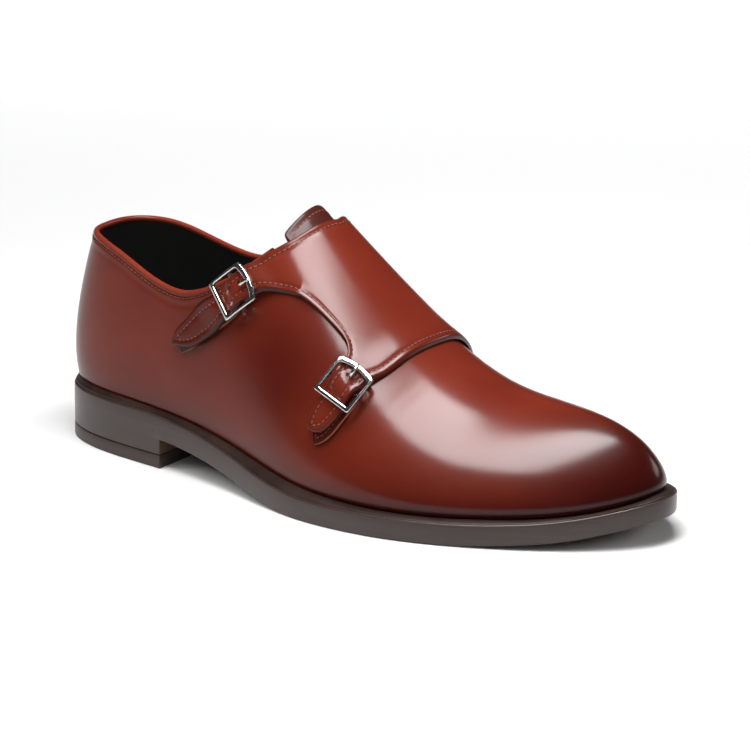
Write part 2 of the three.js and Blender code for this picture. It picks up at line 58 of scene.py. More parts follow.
# ------------------------------------------------------------------ curves and tables
def blend(values: Sequence[float], position: np.ndarray, closed: bool = True) -> np.ndarray:
    """Uniform cubic B-spline through control values.

    Args:
        values: Control values, evenly spaced.
        position: Positions along them, 1 for each value.
        closed: Whether the curve runs round, or is held at its ends.

    Returns:
        The curve's value at each position.
    """
    table = np.asarray(values, float)
    cell = np.floor(position).astype(int)
    f = position - cell
    weights = ((1 - f) ** 3, 3 * f**3 - 6 * f**2 + 4, -3 * f**3 + 3 * f**2 + 3 * f + 1, f**3)
    total = np.zeros_like(np.asarray(position, float))
    for k, weight in enumerate(weights):
        index = cell - 1 + k
        index = index % len(table) if closed else np.clip(index, 0, len(table) - 1)
        total = total + weight / 6 * table[index]
    return total


def spline_through(xs: Sequence[float], ys: Sequence[float]) -> Callable[[np.ndarray], np.ndarray]:
    """Natural cubic spline through points.

    Args:
        xs: Rising positions.
        ys: Values there.

    Returns:
        A function of position.
    """
    x, y = np.asarray(xs, float), np.asarray(ys, float)
    count = len(x)
    step = np.diff(x)
    system, right = np.eye(count), np.zeros(count)
    for i in range(1, count - 1):
        system[i, i - 1 : i + 2] = step[i - 1], 2 * (step[i - 1] + step[i]), step[i]
        right[i] = 6 * ((y[i + 1] - y[i]) / step[i] - (y[i] - y[i - 1]) / step[i - 1])
    bend = np.linalg.solve(system, right)

    def at(position: np.ndarray) -> np.ndarray:
        """Reads the spline.

        Args:
            position: Positions along it.

        Returns:
            Its value at each.
        """
        p = np.asarray(position, float)
        i = np.clip(np.searchsorted(x, p) - 1, 0, count - 2)
        a, b = (x[i + 1] - p) / step[i], (p - x[i]) / step[i]
        return a * y[i] + b * y[i + 1] + ((a**3 - a) * bend[i] + (b**3 - b) * bend[i + 1]) * step[i] ** 2 / 6

    return at


def smooth(low: float, high: float, value: np.ndarray) -> np.ndarray:
    """Smooth step from 0 at low to 1 at high."""
    s = np.clip((np.asarray(value, float) - low) / (high - low), 0, 1)
    return s * s * (3 - 2 * s)


def hill(value: np.ndarray, centre: float, width: float) -> np.ndarray:
    """A rounded bump of height 1 about centre, gone at about twice the width."""
    return np.exp(-(((np.asarray(value, float) - centre) / width) ** 2))


# ------------------------------------------------------------------ the last
@dataclass(frozen=True)
class Section:
    """One section of the last, from the sole's edge on each side up to the ridge. Millimetres."""

    spine_x: float
    spine_y: float
    lat_x: float
    lat_y: float
    med_x: float
    med_y: float
    seat: float
    margin: float
    lat_bulge: float
    med_bulge: float
    plan: float
    lat_full: float
    med_full: float


SECTIONS = {
    "heel_back": Section(58, 0, 0, 0, 0, 0, 28.5, 2.2, 2.2, 2.2, 0.8, 2.0, 2.0),
    "heel_corner": Section(61, 0, 5, -18.5, 5, 19, 28.5, 2.2, 2.4, 2.4, 1.1, 2.0, 2.0),
    "heel_side": Section(70, 0, 30, -32.5, 30, 33, 28.3, 2.4, 2.5, 3.0, 1.9, 2.0, 2.0),
    "breast": Section(88, 0.3, 76, -38, 68, 33.5, 26.8, 3.2, 2.0, 3.5, 2.1, 1.9, 2.0),
    "waist": Section(118, 0.8, 116, -48, 112, 33, 20.0, 4.0, 2.0, 4.0, 2.1, 1.85, 1.95),
    "pre_ball": Section(150, 1.5, 152, -63, 160, 42, 12.8, 5.0, 2.0, 3.0, 2.1, 1.8, 1.9),
    "ball": Section(180, 3, 196, -65, 203, 49, 10.8, 5.2, 1.5, 2.0, 2.1, 1.75, 1.85),
    "forepart": Section(206, 4.5, 233, -54, 243, 48, 11.2, 5.2, 1.5, 1.5, 2.1, 1.75, 1.8),
    "toe_side": Section(228, 6, 273, -34, 272, 41, 13.6, 5.2, 1.5, 1.5, 2.2, 1.8, 1.85),
    "toe_corner": Section(244, 7, 297, -12, 294, 23, 19.8, 5.0, 1.0, 1.0, 2.2, 1.9, 1.9),
    "toe_tip": Section(252, 7, 303, 5.5, 303, 5.5, 23.0, 5.0, 1.0, 1.0, 2.2, 1.9, 1.9),
}


@dataclass
class Last:
    """The shape that the whole upper is drawn over, in millimetres.

    X runs from the back of the heel towards the toe.
    """

    length: float = 302.0
    bulge_height: float = 0.16
    ridge_start: float = 20.0
    ridge_step: float = 20.0
    ridge_heights: tuple[float, ...] = (
        188, 183, 176, 164, 146, 127.5, 110, 92.5, 75.5, 61, 53, 50.5, 49.5, 49, 49)
    topline_x: tuple[float, ...] = (
        -10, 8, 20, 31, 42, 55, 67, 77, 86, 95, 105, 115, 124, 132, 145, 158, 170)
    topline_lateral: tuple[float, ...] = (
        97, 97.5, 97, 95.2, 92.2, 87.2, 83.6, 82.5, 84.4, 88.4, 94.6, 102.5, 109.5, 110.5, 104.5, 97, 93)
    topline_medial: tuple[float, ...] = (
        97, 97.5, 97.3, 96, 93.2, 89.2, 86.4, 85.6, 87.4, 91.2, 97, 103.6, 109.5, 110.5, 104.5, 97, 93)
    throat_x: float = 158.0
    column: dict[str, np.ndarray] = field(default_factory=dict)

    def __post_init__(self) -> None:
        """Reads the sections into rings that run round the shoe, and works out its scale and its place."""
        rows = list(SECTIONS.values())
        self.toe = len(rows) - 1
        pairs = {"x": ("lat_x", "med_x"), "y": ("lat_y", "med_y"), "bulge": ("lat_bulge", "med_bulge"),
                 "full": ("lat_full", "med_full")}
        pairs.update({name: (name, name) for name in ("spine_x", "spine_y", "seat", "margin", "plan")})
        for name, (lateral, medial) in pairs.items():
            there = [getattr(row, lateral) for row in rows]
            back = [getattr(row, medial) for row in rows[1:-1]][::-1]
            self.column[name] = np.array(there + back)
        self.back_x = float(self.at("x", np.zeros(1))[0])
        self.stretch = self.length / (float(self.at("x", np.array([float(self.toe)]))[0]) - self.back_x)
        self.lateral_top = spline_through(self.topline_x, self.topline_lateral)
        self.medial_top = spline_through(self.topline_x, self.topline_medial)
        low, high = (np.array(corner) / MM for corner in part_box("outsole"))
        x, y = self.edge(np.linspace(0, 2 * self.toe, 4001))
        middle = [(low[k] + high[k] - line.min() - line.max()) / 2 for k, line in enumerate((x, y))]
        self.shift = np.array([*middle, 0])

    def at(self, name: str, u: np.ndarray) -> np.ndarray:
        """A column's value at ring positions."""
        return blend(self.column[name], np.asarray(u, float))

    def edge(self, u: np.ndarray, inset: float | np.ndarray = 0.0) -> tuple[np.ndarray, np.ndarray]:
        """The sole's edge, seen from above.

        Args:
            u: Ring positions.
            inset: How far the line is moved inwards.

        Returns:
            X and Y of the line.
        """
        u = np.asarray(u, float)

        def plan(v: np.ndarray) -> tuple[np.ndarray, np.ndarray]:
            """The edge itself."""
            return (self.at("x", v) - self.back_x) * self.stretch, self.at("y", v)

        x, y = plan(u)
        ax, ay = plan(u - 0.001)
        bx, by = plan(u + 0.001)
        size = np.hypot(bx - ax, by - ay)
        return x - (by - ay) / size * inset, y + (bx - ax) / size * inset

    def ridge(self, x: np.ndarray) -> np.ndarray:
        """Height of the ridge over the instep."""
        return blend(self.ridge_heights, (x - self.ridge_start) / self.ridge_step, closed=False)

    def point(self, u: np.ndarray, t: np.ndarray, lift: float | np.ndarray = 0.0) -> np.ndarray:
        """A point of the last's surface.

        Args:
            u: Position round the feather line, 0 at the back of the heel and self.toe at the toe, first up
                the lateral side.
            t: Position up the wall, 0 at the feather line and 1 at the ridge.
            lift: Distance outside the upper's surface.

        Returns:
            Points, one a row, in millimetres.
        """
        u, t = np.broadcast_arrays(np.asarray(u, float), np.asarray(t, float))
        foot_x, foot_y = self.edge(u, self.at("margin", u) - lift)
        out_x, out_y = foot_x - self.at("spine_x", u), foot_y - self.at("spine_y", u)
        angle = t * math.pi / 2
        inwards = 1 - np.maximum(np.cos(angle), 0) ** (2 / self.at("plan", u))
        rise = np.maximum(np.sin(angle), 0) ** (2 / self.at("full", u))
        share = rise / self.bulge_height
        swell = share * np.exp(1 - share) * (1 - rise)
        bulge = self.at("bulge", u) * swell / np.hypot(out_x, out_y)
        x, y = foot_x - out_x * (inwards - bulge), foot_y - out_y * (inwards - bulge)
        seat = self.at("seat", u)
        return np.stack([x, y, seat + (self.ridge(x) + lift - seat) * rise], -1)

    def top_of(self, u: np.ndarray, below: float | np.ndarray = 0.0) -> np.ndarray:
        """How far up the wall the topline lies.

        Args:
            u: Ring positions.
            below: How far below the topline the wanted line lies.

        Returns:
            Wall positions, 1 where the wall is closed over the instep.
        """
        u = np.asarray(u, float)
        wrapped = u % (2 * self.toe)

        def over(t: np.ndarray) -> np.ndarray:
            """Measures from the wanted line.

            Args:
                t: Wall positions.

            Returns:
                Their heights over it.
            """
            p = self.point(u, t)
            line = np.where(wrapped < self.toe, self.lateral_top(p[..., 0]), self.medial_top(p[..., 0]))
            return p[..., 2] - (line - below)

        low, high = np.zeros_like(u), np.ones_like(u)
        for _ in range(34):
            middle = (low + high) / 2
            under = over(middle) < 0
            low, high = np.where(under, middle, low), np.where(under, high, middle)
        whole = (self.at("spine_x", u) >= self.throat_x) | (over(np.ones_like(u)) <= 0)
        return np.where(whole, 1.0, (low + high) / 2)

    def to_frame(self, points: np.ndarray) -> np.ndarray:
        """Millimetres of the last to metres of the shared frame."""
        return (points + self.shift) * MM


@dataclass
class Drape:
    """Places on the last by x along the shoe and girth.

    Girth is the way over the surface from the ridge, negative on the lateral side.
    """

    last: Last
    start: float = 42.0
    end: float = 288.0
    step: float = 2.0
    rows: int = 120
    girth_step: float = 0.5

    def __post_init__(self) -> None:
        """Makes one table of ring positions for each side."""
        self.tables = {side: self._table(side) for side in (-1, 1)}

    def _table(self, side: int) -> tuple[np.ndarray, np.ndarray]:
        """Looks up one side of the last.

        Args:
            side: -1 for the lateral side, 1 for the medial one.

        Returns:
            Ring and wall positions at even steps of girth, one row for each x.
        """
        toe = self.last.toe
        xs = np.arange(self.start, self.end + 0.1, self.step)[:, None]
        t = np.linspace(1, 0, self.rows + 1)[None, :]
        low = np.zeros((len(xs), self.rows + 1))
        high = np.full_like(low, float(toe))
        for _ in range(30):
            middle = (low + high) / 2
            ring = middle if side < 0 else 2 * toe - middle
            short = self.last.point(ring, t + 0 * ring)[..., 0] < xs
            low, high = np.where(short, middle, low), np.where(short, high, middle)
        ring = (low + high) / 2 if side < 0 else 2 * toe - (low + high) / 2
        p = self.last.point(ring, t + 0 * ring)
        girth = np.cumsum(np.hypot(np.diff(p[..., 1]), np.diff(p[..., 2])), 1)
        girth = np.concatenate([np.zeros((len(xs), 1)), girth], 1)
        even = np.arange(0, 170, self.girth_step)
        rings = np.stack([np.interp(even, g, r) for g, r in zip(girth, ring)])
        walls = np.stack([np.interp(even, g, t[0]) for g in girth])
        return rings, walls

    def place(self, x: np.ndarray, girth: np.ndarray) -> tuple[np.ndarray, np.ndarray]:
        """Finds places on the last.

        Args:
            x: Places along the shoe.
            girth: Ways over the surface from the ridge.

        Returns:
            Their ring positions and wall positions.
        """
        x, girth = np.broadcast_arrays(np.asarray(x, float), np.asarray(girth, float))
        out = []
        for k in range(2):
            value = np.zeros(x.shape)
            for side in (-1, 1):
                table = self.tables[side][k]
                i = np.clip((x - self.start) / self.step, 0, table.shape[0] - 1.001)
                j = np.clip(np.abs(girth) / self.girth_step, 0, table.shape[1] - 1.001)
                a, b = i.astype(int), j.astype(int)
                f, g = i - a, j - b
                here = (table[a, b] * (1 - f) + table[a + 1, b] * f) * (1 - g)
                here = here + (table[a, b + 1] * (1 - f) + table[a + 1, b + 1] * f) * g
                value = np.where((girth < 0) == (side < 0), here, value)
            out.append(value)
        return out[0], out[1]

    def point(self, x: np.ndarray, girth: np.ndarray, lift: float | np.ndarray = 0.0) -> np.ndarray:
        """Points over the last at x and girth, in millimetres."""
        u, t = self.place(x, girth)
        return self.last.point(u, t, lift)


LAST = Last()
DRAPE = Drape(LAST)


# ------------------------------------------------------------------ finishes
@dataclass
class NodeTree:
    """Small helper that adds and links shader nodes of one material."""

    material: bpy.types.Material

    def __post_init__(self) -> None:
        """Starts from the Principled shader that a new material has."""
        self.material.use_nodes = True
        self.tree = self.material.node_tree
        self.shader = self.tree.nodes["Principled BSDF"]
        self.object_coordinates = self.add("ShaderNodeTexCoord").outputs["Object"]

    def add(self, kind: str, **settings: object) -> bpy.types.Node:
        """Adds a node.

        Args:
            kind: Its type.
            **settings: Its properties and input values by name.

        Returns:
            The new node.
        """
        node = self.tree.nodes.new(kind)
        for name, value in settings.items():
            if hasattr(node, name):
                setattr(node, name, value)
            else:
                node.inputs[name.replace("_", " ").title()].default_value = value
        return node

    def link(self, output: bpy.types.NodeSocket, target: bpy.types.NodeSocket) -> None:
        """Joins two sockets."""
        self.tree.links.new(output, target)

    def noise(self, scale: float, detail: float = 2.0, stretch: tuple[float, float, float] = (1, 1, 1),
              rough: float = 0.5) -> bpy.types.NodeSocket:
        """Noise on the object's own coordinates.

        Args:
            scale: Features for each metre.
            detail: Octaves.
            stretch: Factors on the three coordinates.
            rough: Share of the finer octaves.

        Returns:
            The noise, 0 to 1.
        """
        mapping = self.add("ShaderNodeMapping")
        mapping.inputs["Scale"].default_value = stretch
        self.link(self.object_coordinates, mapping.inputs["Vector"])
        node = self.add("ShaderNodeTexNoise")
        node.inputs["Scale"].default_value = scale
        node.inputs["Detail"].default_value = detail
        node.inputs["Roughness"].default_value = rough
        self.link(mapping.outputs["Vector"], node.inputs["Vector"])
        return node.outputs["Fac"]

    def cells(self, scale: float) -> bpy.types.NodeSocket:
        """Small cells, as of a leather's pores.

        Args:
            scale: Cells for each metre.

        Returns:
            Distance to the nearest cell border.
        """
        node = self.add("ShaderNodeTexVoronoi", feature="DISTANCE_TO_EDGE")
        node.inputs["Scale"].default_value = scale
        self.link(self.object_coordinates, node.inputs["Vector"])
        return node.outputs["Distance"]

    def ramp(self, source: bpy.types.NodeSocket,
             stops: Sequence[tuple[float, Sequence[float]]]) -> bpy.types.NodeSocket:
        """Colours spread over a value.

        Args:
            source: The value.
            stops: Positions and their colours.

        Returns:
            The colour.
        """
        node = self.add("ShaderNodeValToRGB")
        elements = node.color_ramp.elements
        while len(elements) < len(stops):
            elements.new(0.5)
        for element, (position, colour) in zip(elements, stops):
            element.position = position
            element.color = (*colour, 1)
        self.link(source, node.inputs["Fac"])
        return node.outputs["Color"]

    def span(self, source: bpy.types.NodeSocket, low: float, high: float, to_low: float,
             to_high: float) -> bpy.types.NodeSocket:
        """Maps a value from one range to another.

        Args:
            source: The value.
            low: Start of its range.
            high: End of its range.
            to_low: Start of the new range.
            to_high: End of the new range.

        Returns:
            The mapped value.
        """
        node = self.add("ShaderNodeMapRange")
        for name, value in (("From Min", low), ("From Max", high), ("To Min", to_low), ("To Max", to_high)):
            node.inputs[name].default_value = value
        self.link(source, node.inputs["Value"])
        return node.outputs["Result"]

    def mix(self, factor: bpy.types.NodeSocket, a: object, b: object) -> bpy.types.NodeSocket:
        """Mixes two colours.

        Args:
            factor: 0 for the first colour, 1 for the second.
            a: The first, a socket or three numbers.
            b: The second, a socket or three numbers.

        Returns:
            The mixed colour.
        """
        node = self.add("ShaderNodeMix", data_type="RGBA")
        for socket, value in ((node.inputs[0], factor), (node.inputs[6], a), (node.inputs[7], b)):
            if isinstance(value, bpy.types.NodeSocket):
                self.link(value, socket)
            else:
                socket.default_value = (*value, 1)
        return node.outputs[2]

    def attribute(self, name: str) -> bpy.types.NodeSocket:
        """A number kept on the piece's vertices."""
        return self.add("ShaderNodeAttribute", attribute_name=name).outputs["Fac"]

    def bump(self, height: bpy.types.NodeSocket, distance: float, strength: float = 1.0,
             under: bpy.types.NodeSocket | None = None) -> bpy.types.NodeSocket:
        """Surface relief.

        Args:
            height: The relief, 0 to 1.
            distance: Its depth in metres.
            strength: Share of it that shows.
            under: A coarser relief that it lies on.

        Returns:
            The surface's direction.
        """
        node = self.add("ShaderNodeBump")
        node.inputs["Distance"].default_value = distance
        node.inputs["Strength"].default_value = strength
        self.link(height, node.inputs["Height"])
        if under is not None:
            self.link(under, node.inputs["Normal"])
        return node.outputs["Normal"]

    def set(self, **values: object) -> None:
        """Sets or links sockets of the Principled shader.

        Args:
            **values: Numbers, colours or sockets, named with underscores for spaces.
        """
        for name, value in values.items():
            socket = self.shader.inputs[name.replace("_", " ")]
            if isinstance(value, bpy.types.NodeSocket):
                self.link(value, socket)
            elif isinstance(value, (int, float)):
                socket.default_value = value
            else:
                socket.default_value = (*value, 1)


@dataclass(frozen=True)
class PolishedCalf:
    """Calf leather polished to a soft mirror, hand burnished darker, and darkened with painted shade, where
    its darkness attribute is high.
    """

    name: str
    light: tuple[float, float, float]
    deep: tuple[float, float, float]
    # Colour of burnished places, also used for painted shade.
    burnt_and_shaded: tuple[float, float, float]
    roughness: float = 0.3
    coat: float = 0.36
    grain: float = 0.00002

    def make(self) -> bpy.types.Material:
        """Builds the material.

        Returns:
            The material.
        """
        nodes = NodeTree(bpy.data.materials.new(self.name))
        clouds = nodes.ramp(nodes.noise(20, 2), [(0.2, self.deep), (0.75, self.light)])
        streaks = nodes.noise(160, 3, (0.35, 1, 1))
        toned = nodes.mix(nodes.span(streaks, 0.2, 0.8, 0, 0.3), clouds, self.deep)
        # The darkness attribute mixes towards the burnt colour: burnishing, and painted shade round the
        # straps, in the binding's seam and on the tongue under the panel.
        colour = nodes.mix(nodes.attribute("burnish_and_shade"), toned, self.burnt_and_shaded)
        pores = nodes.span(nodes.cells(1500), 0, 0.25, 0, 1)
        fine = nodes.bump(pores, self.grain, 0.3)
        drawn = nodes.bump(nodes.noise(60, 2), self.grain * 4, 0.3, fine)
        rough = nodes.span(nodes.noise(45, 2), 0.0, 1.0, self.roughness - 0.05, self.roughness + 0.07)
        nodes.set(Base_Color=colour, Roughness=rough, Normal=drawn, Specular_IOR_Level=0.09,
                  Coat_Weight=self.coat, Coat_Roughness=0.13, Coat_IOR=1.45)
        nodes.link(drawn, nodes.shader.inputs["Coat Normal"])
        return nodes.material


@dataclass(frozen=True)
class DullLeather:
    """Plain leather with a visible grain, such as a lining or a welt."""

    name: str
    base: tuple[float, float, float]
    second: tuple[float, float, float]
    roughness: float
    grain: float = 0.0001
    scale: float = 900.0

    def make(self) -> bpy.types.Material:
        """Builds the material.

        Returns:
            The material.
        """
        nodes = NodeTree(bpy.data.materials.new(self.name))
        colour = nodes.ramp(nodes.noise(70, 4), [(0.32, self.base), (0.68, self.second)])
        relief = nodes.bump(nodes.noise(self.scale, 4, rough=0.6), self.grain, 0.6)
        rough = nodes.span(nodes.noise(120, 2), 0.3, 0.7, self.roughness - 0.06, self.roughness + 0.06)
        nodes.set(Base_Color=colour, Roughness=rough, Normal=relief, Specular_IOR_Level=0.2)
        return nodes.material


@dataclass(frozen=True)
class EdgeDressing:
    """Waxed sole edge: layers of leather sanded flush, dyed dark, with faint level lines."""

    name: str
    base: tuple[float, float, float]
    second: tuple[float, float, float]
    roughness: float = 0.34
    levels: float = 620.0
    relief: float = 0.00005

    def make(self) -> bpy.types.Material:
        """Builds the material.

        Returns:
            The material.
        """
        nodes = NodeTree(bpy.data.materials.new(self.name))
        layers = nodes.noise(self.levels, 2, (0.03, 0.03, 1))
        fibres = nodes.noise(700, 4, (0.25, 0.25, 1), 0.6)
        colour = nodes.ramp(layers, [(0.3, self.base), (0.7, self.second)])
        mottled = nodes.mix(nodes.span(nodes.noise(30, 3), 0.35, 0.7, 0, 0.4), colour, self.base)
        bumped = nodes.bump(fibres, self.relief * 0.6, 0.6, nodes.bump(layers, self.relief, 0.7))
        rough = nodes.span(nodes.noise(240, 3), 0.0, 1.0, self.roughness - 0.06, self.roughness + 0.08)
        nodes.set(Base_Color=mottled, Roughness=rough, Normal=bumped, Specular_IOR_Level=0.35,
                  Coat_Weight=0.2, Coat_Roughness=0.25)
        return nodes.material


@dataclass(frozen=True)
class PolishedMetal:
    """Bright nickel with faint wiping marks."""

    name: str
    base: tuple[float, float, float]
    roughness: float = 0.16

    def make(self) -> bpy.types.Material:
        """Builds the material.

        Returns:
            The material.
        """
        nodes = NodeTree(bpy.data.materials.new(self.name))
        dull = tuple(0.8 * c for c in self.base)
        tarnish = nodes.ramp(nodes.noise(260, 4), [(0.35, dull), (0.65, self.base)])
        wiping = nodes.noise(900, 3, (1, 0.2, 1))
        rough = nodes.span(wiping, 0.3, 0.7, self.roughness - 0.05, self.roughness + 0.08)
        relief = nodes.bump(nodes.noise(500, 3), 0.00002, 0.4)
        nodes.set(Base_Color=tarnish, Metallic=1.0, Roughness=rough, Normal=relief)
        return nodes.material


@dataclass(frozen=True)
class Thread:
    """Waxed sewing thread, twisted."""

    name: str
    base: tuple[float, float, float]
    roughness: float = 0.45

    def make(self) -> bpy.types.Material:
        """Builds the material.

        Returns:
            The material.
        """
        nodes = NodeTree(bpy.data.materials.new(self.name))
        twist = nodes.noise(2600, 2)
        colour = nodes.ramp(twist, [(0.3, tuple(0.55 * c for c in self.base)), (0.65, self.base)])
        nodes.set(Base_Color=colour, Roughness=self.roughness, Normal=nodes.bump(twist, 0.00006, 0.8))
        return nodes.material


class Finish(Enum):
    """Every finish of the shoe."""

    UPPER = PolishedCalf("upper_calf", (0.098, 0.0128, 0.0052), (0.058, 0.0058, 0.0030),
                         (0.013, 0.0009, 0.0008))
    BINDING = PolishedCalf("binding_calf", (0.115, 0.0175, 0.0085), (0.075, 0.010, 0.0052),
                           (0.022, 0.0025, 0.0018), 0.38, 0.3)
    TONGUE = PolishedCalf("tongue_calf", (0.042, 0.0072, 0.0048), (0.027, 0.0045, 0.0034),
                          (0.012, 0.002, 0.0016), 0.42, 0.2)
    CUT_EDGE = DullLeather("cut_edge", (0.17, 0.062, 0.032), (0.11, 0.038, 0.020), 0.6)
    LINING = DullLeather("lining_leather", (0.002, 0.002, 0.002), (0.0035, 0.0033, 0.003), 0.8, 0.00005)
    SOCK = DullLeather("sock_leather", (0.010, 0.009, 0.008), (0.016, 0.014, 0.013), 0.6, 0.00006)
    # The welt is coloured darker than the sole edge: dark dye, and painted shade from the upper over its top.
    WELT = DullLeather("welt_leather", (0.009, 0.0045, 0.0035), (0.018, 0.009, 0.007), 0.5, 0.00008, 700)
    SOLE_EDGE = EdgeDressing("sole_edge", (0.019, 0.0108, 0.0083), (0.028, 0.017, 0.0136))
    TREAD = DullLeather("tread_leather", (0.055, 0.030, 0.018), (0.085, 0.048, 0.030), 0.5, 0.0001, 500)
    LIFT = EdgeDressing("lift_rubber", (0.022, 0.0128, 0.0098), (0.030, 0.0195, 0.0155), 0.5, 900, 0.00003)
    NICKEL = PolishedMetal("polished_nickel", (0.66, 0.65, 0.635))
    THREAD = Thread("brown_thread", (0.15, 0.038, 0.023))
    # Dark finish for holes: painted shade inside the needle and prong holes.
    HOLE_SHADE = DullLeather("needle_hole_shade", (0.012, 0.004, 0.003), (0.018, 0.006, 0.004), 0.8)


_MADE: dict[Finish, bpy.types.Material] = {}


def dressed(finish: Finish) -> bpy.types.Material:
    """The material of a finish, made once.

    Args:
        finish: The finish.

    Returns:
        Its material.
    """
    if finish not in _MADE:
        _MADE[finish] = finish.value.make()
    return _MADE[finish]


# ------------------------------------------------------------------ making meshes
def positions(bm: BMesh) -> np.ndarray:
    """The places of a mesh's vertices, one a row."""
    return np.array([v.co for v in bm.verts], float).reshape(-1, 3)


def move(bm: BMesh, points: np.ndarray) -> None:
    """Puts each vertex at its row of points."""
    for vert, point in zip(bm.verts, points):
        vert.co = point


def only(parts: Sequence[object], kind: type) -> list:
    """The vertices, edges or faces among the parts that a bmesh operator gives back."""
    return [part for part in parts if isinstance(part, kind)]


def number_layer(bm: BMesh, name: str, values: np.ndarray) -> None:
    """Keeps a number on each vertex, for a finish to read.

    Args:
        bm: The mesh.
        name: The number's name.
        values: One for each vertex.
    """
    layer = bm.verts.layers.float.get(name) or bm.verts.layers.float.new(name)
    for vert, value in zip(bm.verts, values):
        vert[layer] = float(value)


def wrapped_grid(columns: int, rows: int, place: Place, burnish_and_shade: Place | None = None) -> BMesh:
    """A grid of quads laid where a function of two shares, 0 to 1, says.

    Args:
        columns: Quads along the first share.
        rows: Quads along the second share.
        place: Millimetre points for the two shares.
        burnish_and_shade: How dark the finish is there, 0 to 1.

    Returns:
        The mesh, in metres of the shared frame, with coincident vertices joined.
    """
    bm = bmesh.new()
    bmesh.ops.create_grid(bm, x_segments=columns, y_segments=rows, size=0.5)
    flat = positions(bm)
    a, b = np.clip(flat[:, 0] + 0.5, 0, 1), np.clip(flat[:, 1] + 0.5, 0, 1)
    move(bm, LAST.to_frame(place(a, b)))
    if burnish_and_shade is not None:
        number_layer(bm, "burnish_and_shade", burnish_and_shade(a, b))
    bmesh.ops.remove_doubles(bm, verts=bm.verts, dist=0.02 * MM)
    bmesh.ops.dissolve_degenerate(bm, edges=bm.edges, dist=0.01 * MM)
    return bm


@dataclass
class Piece:
    """How one finished piece is named, dressed and tied to the frame."""

    name: str
    finish: Finish
    slot: str
    replaces: tuple[str, ...] = ()
    extra: tuple[Finish, ...] = ()
    sharp_degrees: float = 40.0

    def add(self, bm: BMesh, wall: float = 0.0, outwards: bool = False) -> bpy.types.Object:
        """Makes the object.

        Args:
            bm: Its mesh, in metres, freed here.
            wall: Thickness in millimetres given to an open sheet, 0 for a closed solid.
            outwards: Whether the wall grows out of the sheet and not into it.

        Returns:
            The new object.
        """
        if wall == 0.0:
            bmesh.ops.recalc_face_normals(bm, faces=bm.faces)
        mesh = bpy.data.meshes.new(self.name)
        bm.to_mesh(mesh)
        bm.free()
        obj = bpy.data.objects.new(self.name, mesh)
        bpy.context.scene.collection.objects.link(obj)
        for finish in (self.finish, *self.extra):
            mesh.materials.append(dressed(finish))
        mesh.shade_smooth()
        mesh.set_sharp_from_angle(angle=math.radians(self.sharp_degrees))
        if wall:
            solid = obj.modifiers.new("wall", "SOLIDIFY")
            solid.thickness = wall * MM
            solid.offset = 1.0 if outwards else -1.0
        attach(obj, BODY)
        if self.replaces:
            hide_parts(*self.replaces)
        LOG.info("%s: %d faces", self.name, len(mesh.polygons))
        return obj


def face_out(bm: BMesh, towards: Callable[[Vector], Vector]) -> None:
    """Turns an open sheet so that its faces look the right way.

    Args:
        bm: The sheet.
        towards: The direction wanted at each place.
    """
    bmesh.ops.recalc_face_normals(bm, faces=bm.faces)
    bm.normal_update()
    score = sum(f.normal.dot(towards(f.calc_center_median())) * f.calc_area() for f in bm.faces)
    if score < 0:
        bmesh.ops.reverse_faces(bm, faces=bm.faces)


def from_inside(place: Vector) -> Vector:
    """Direction from the middle of the foot to a place."""
    return Vector((0.0, place.y * 4, place.z - 0.03))


# ------------------------------------------------------------------ leather cut to an outline
Edge = tuple[tuple[float, float], ...]


def even(value: float) -> Place:
    """The same value at every place."""
    return lambda x, girth: value + 0 * x


def above(lift: Place, rise: float) -> Place:
    """A height over another height, at x and girth."""
    return lambda x, girth: lift(x, girth) + rise


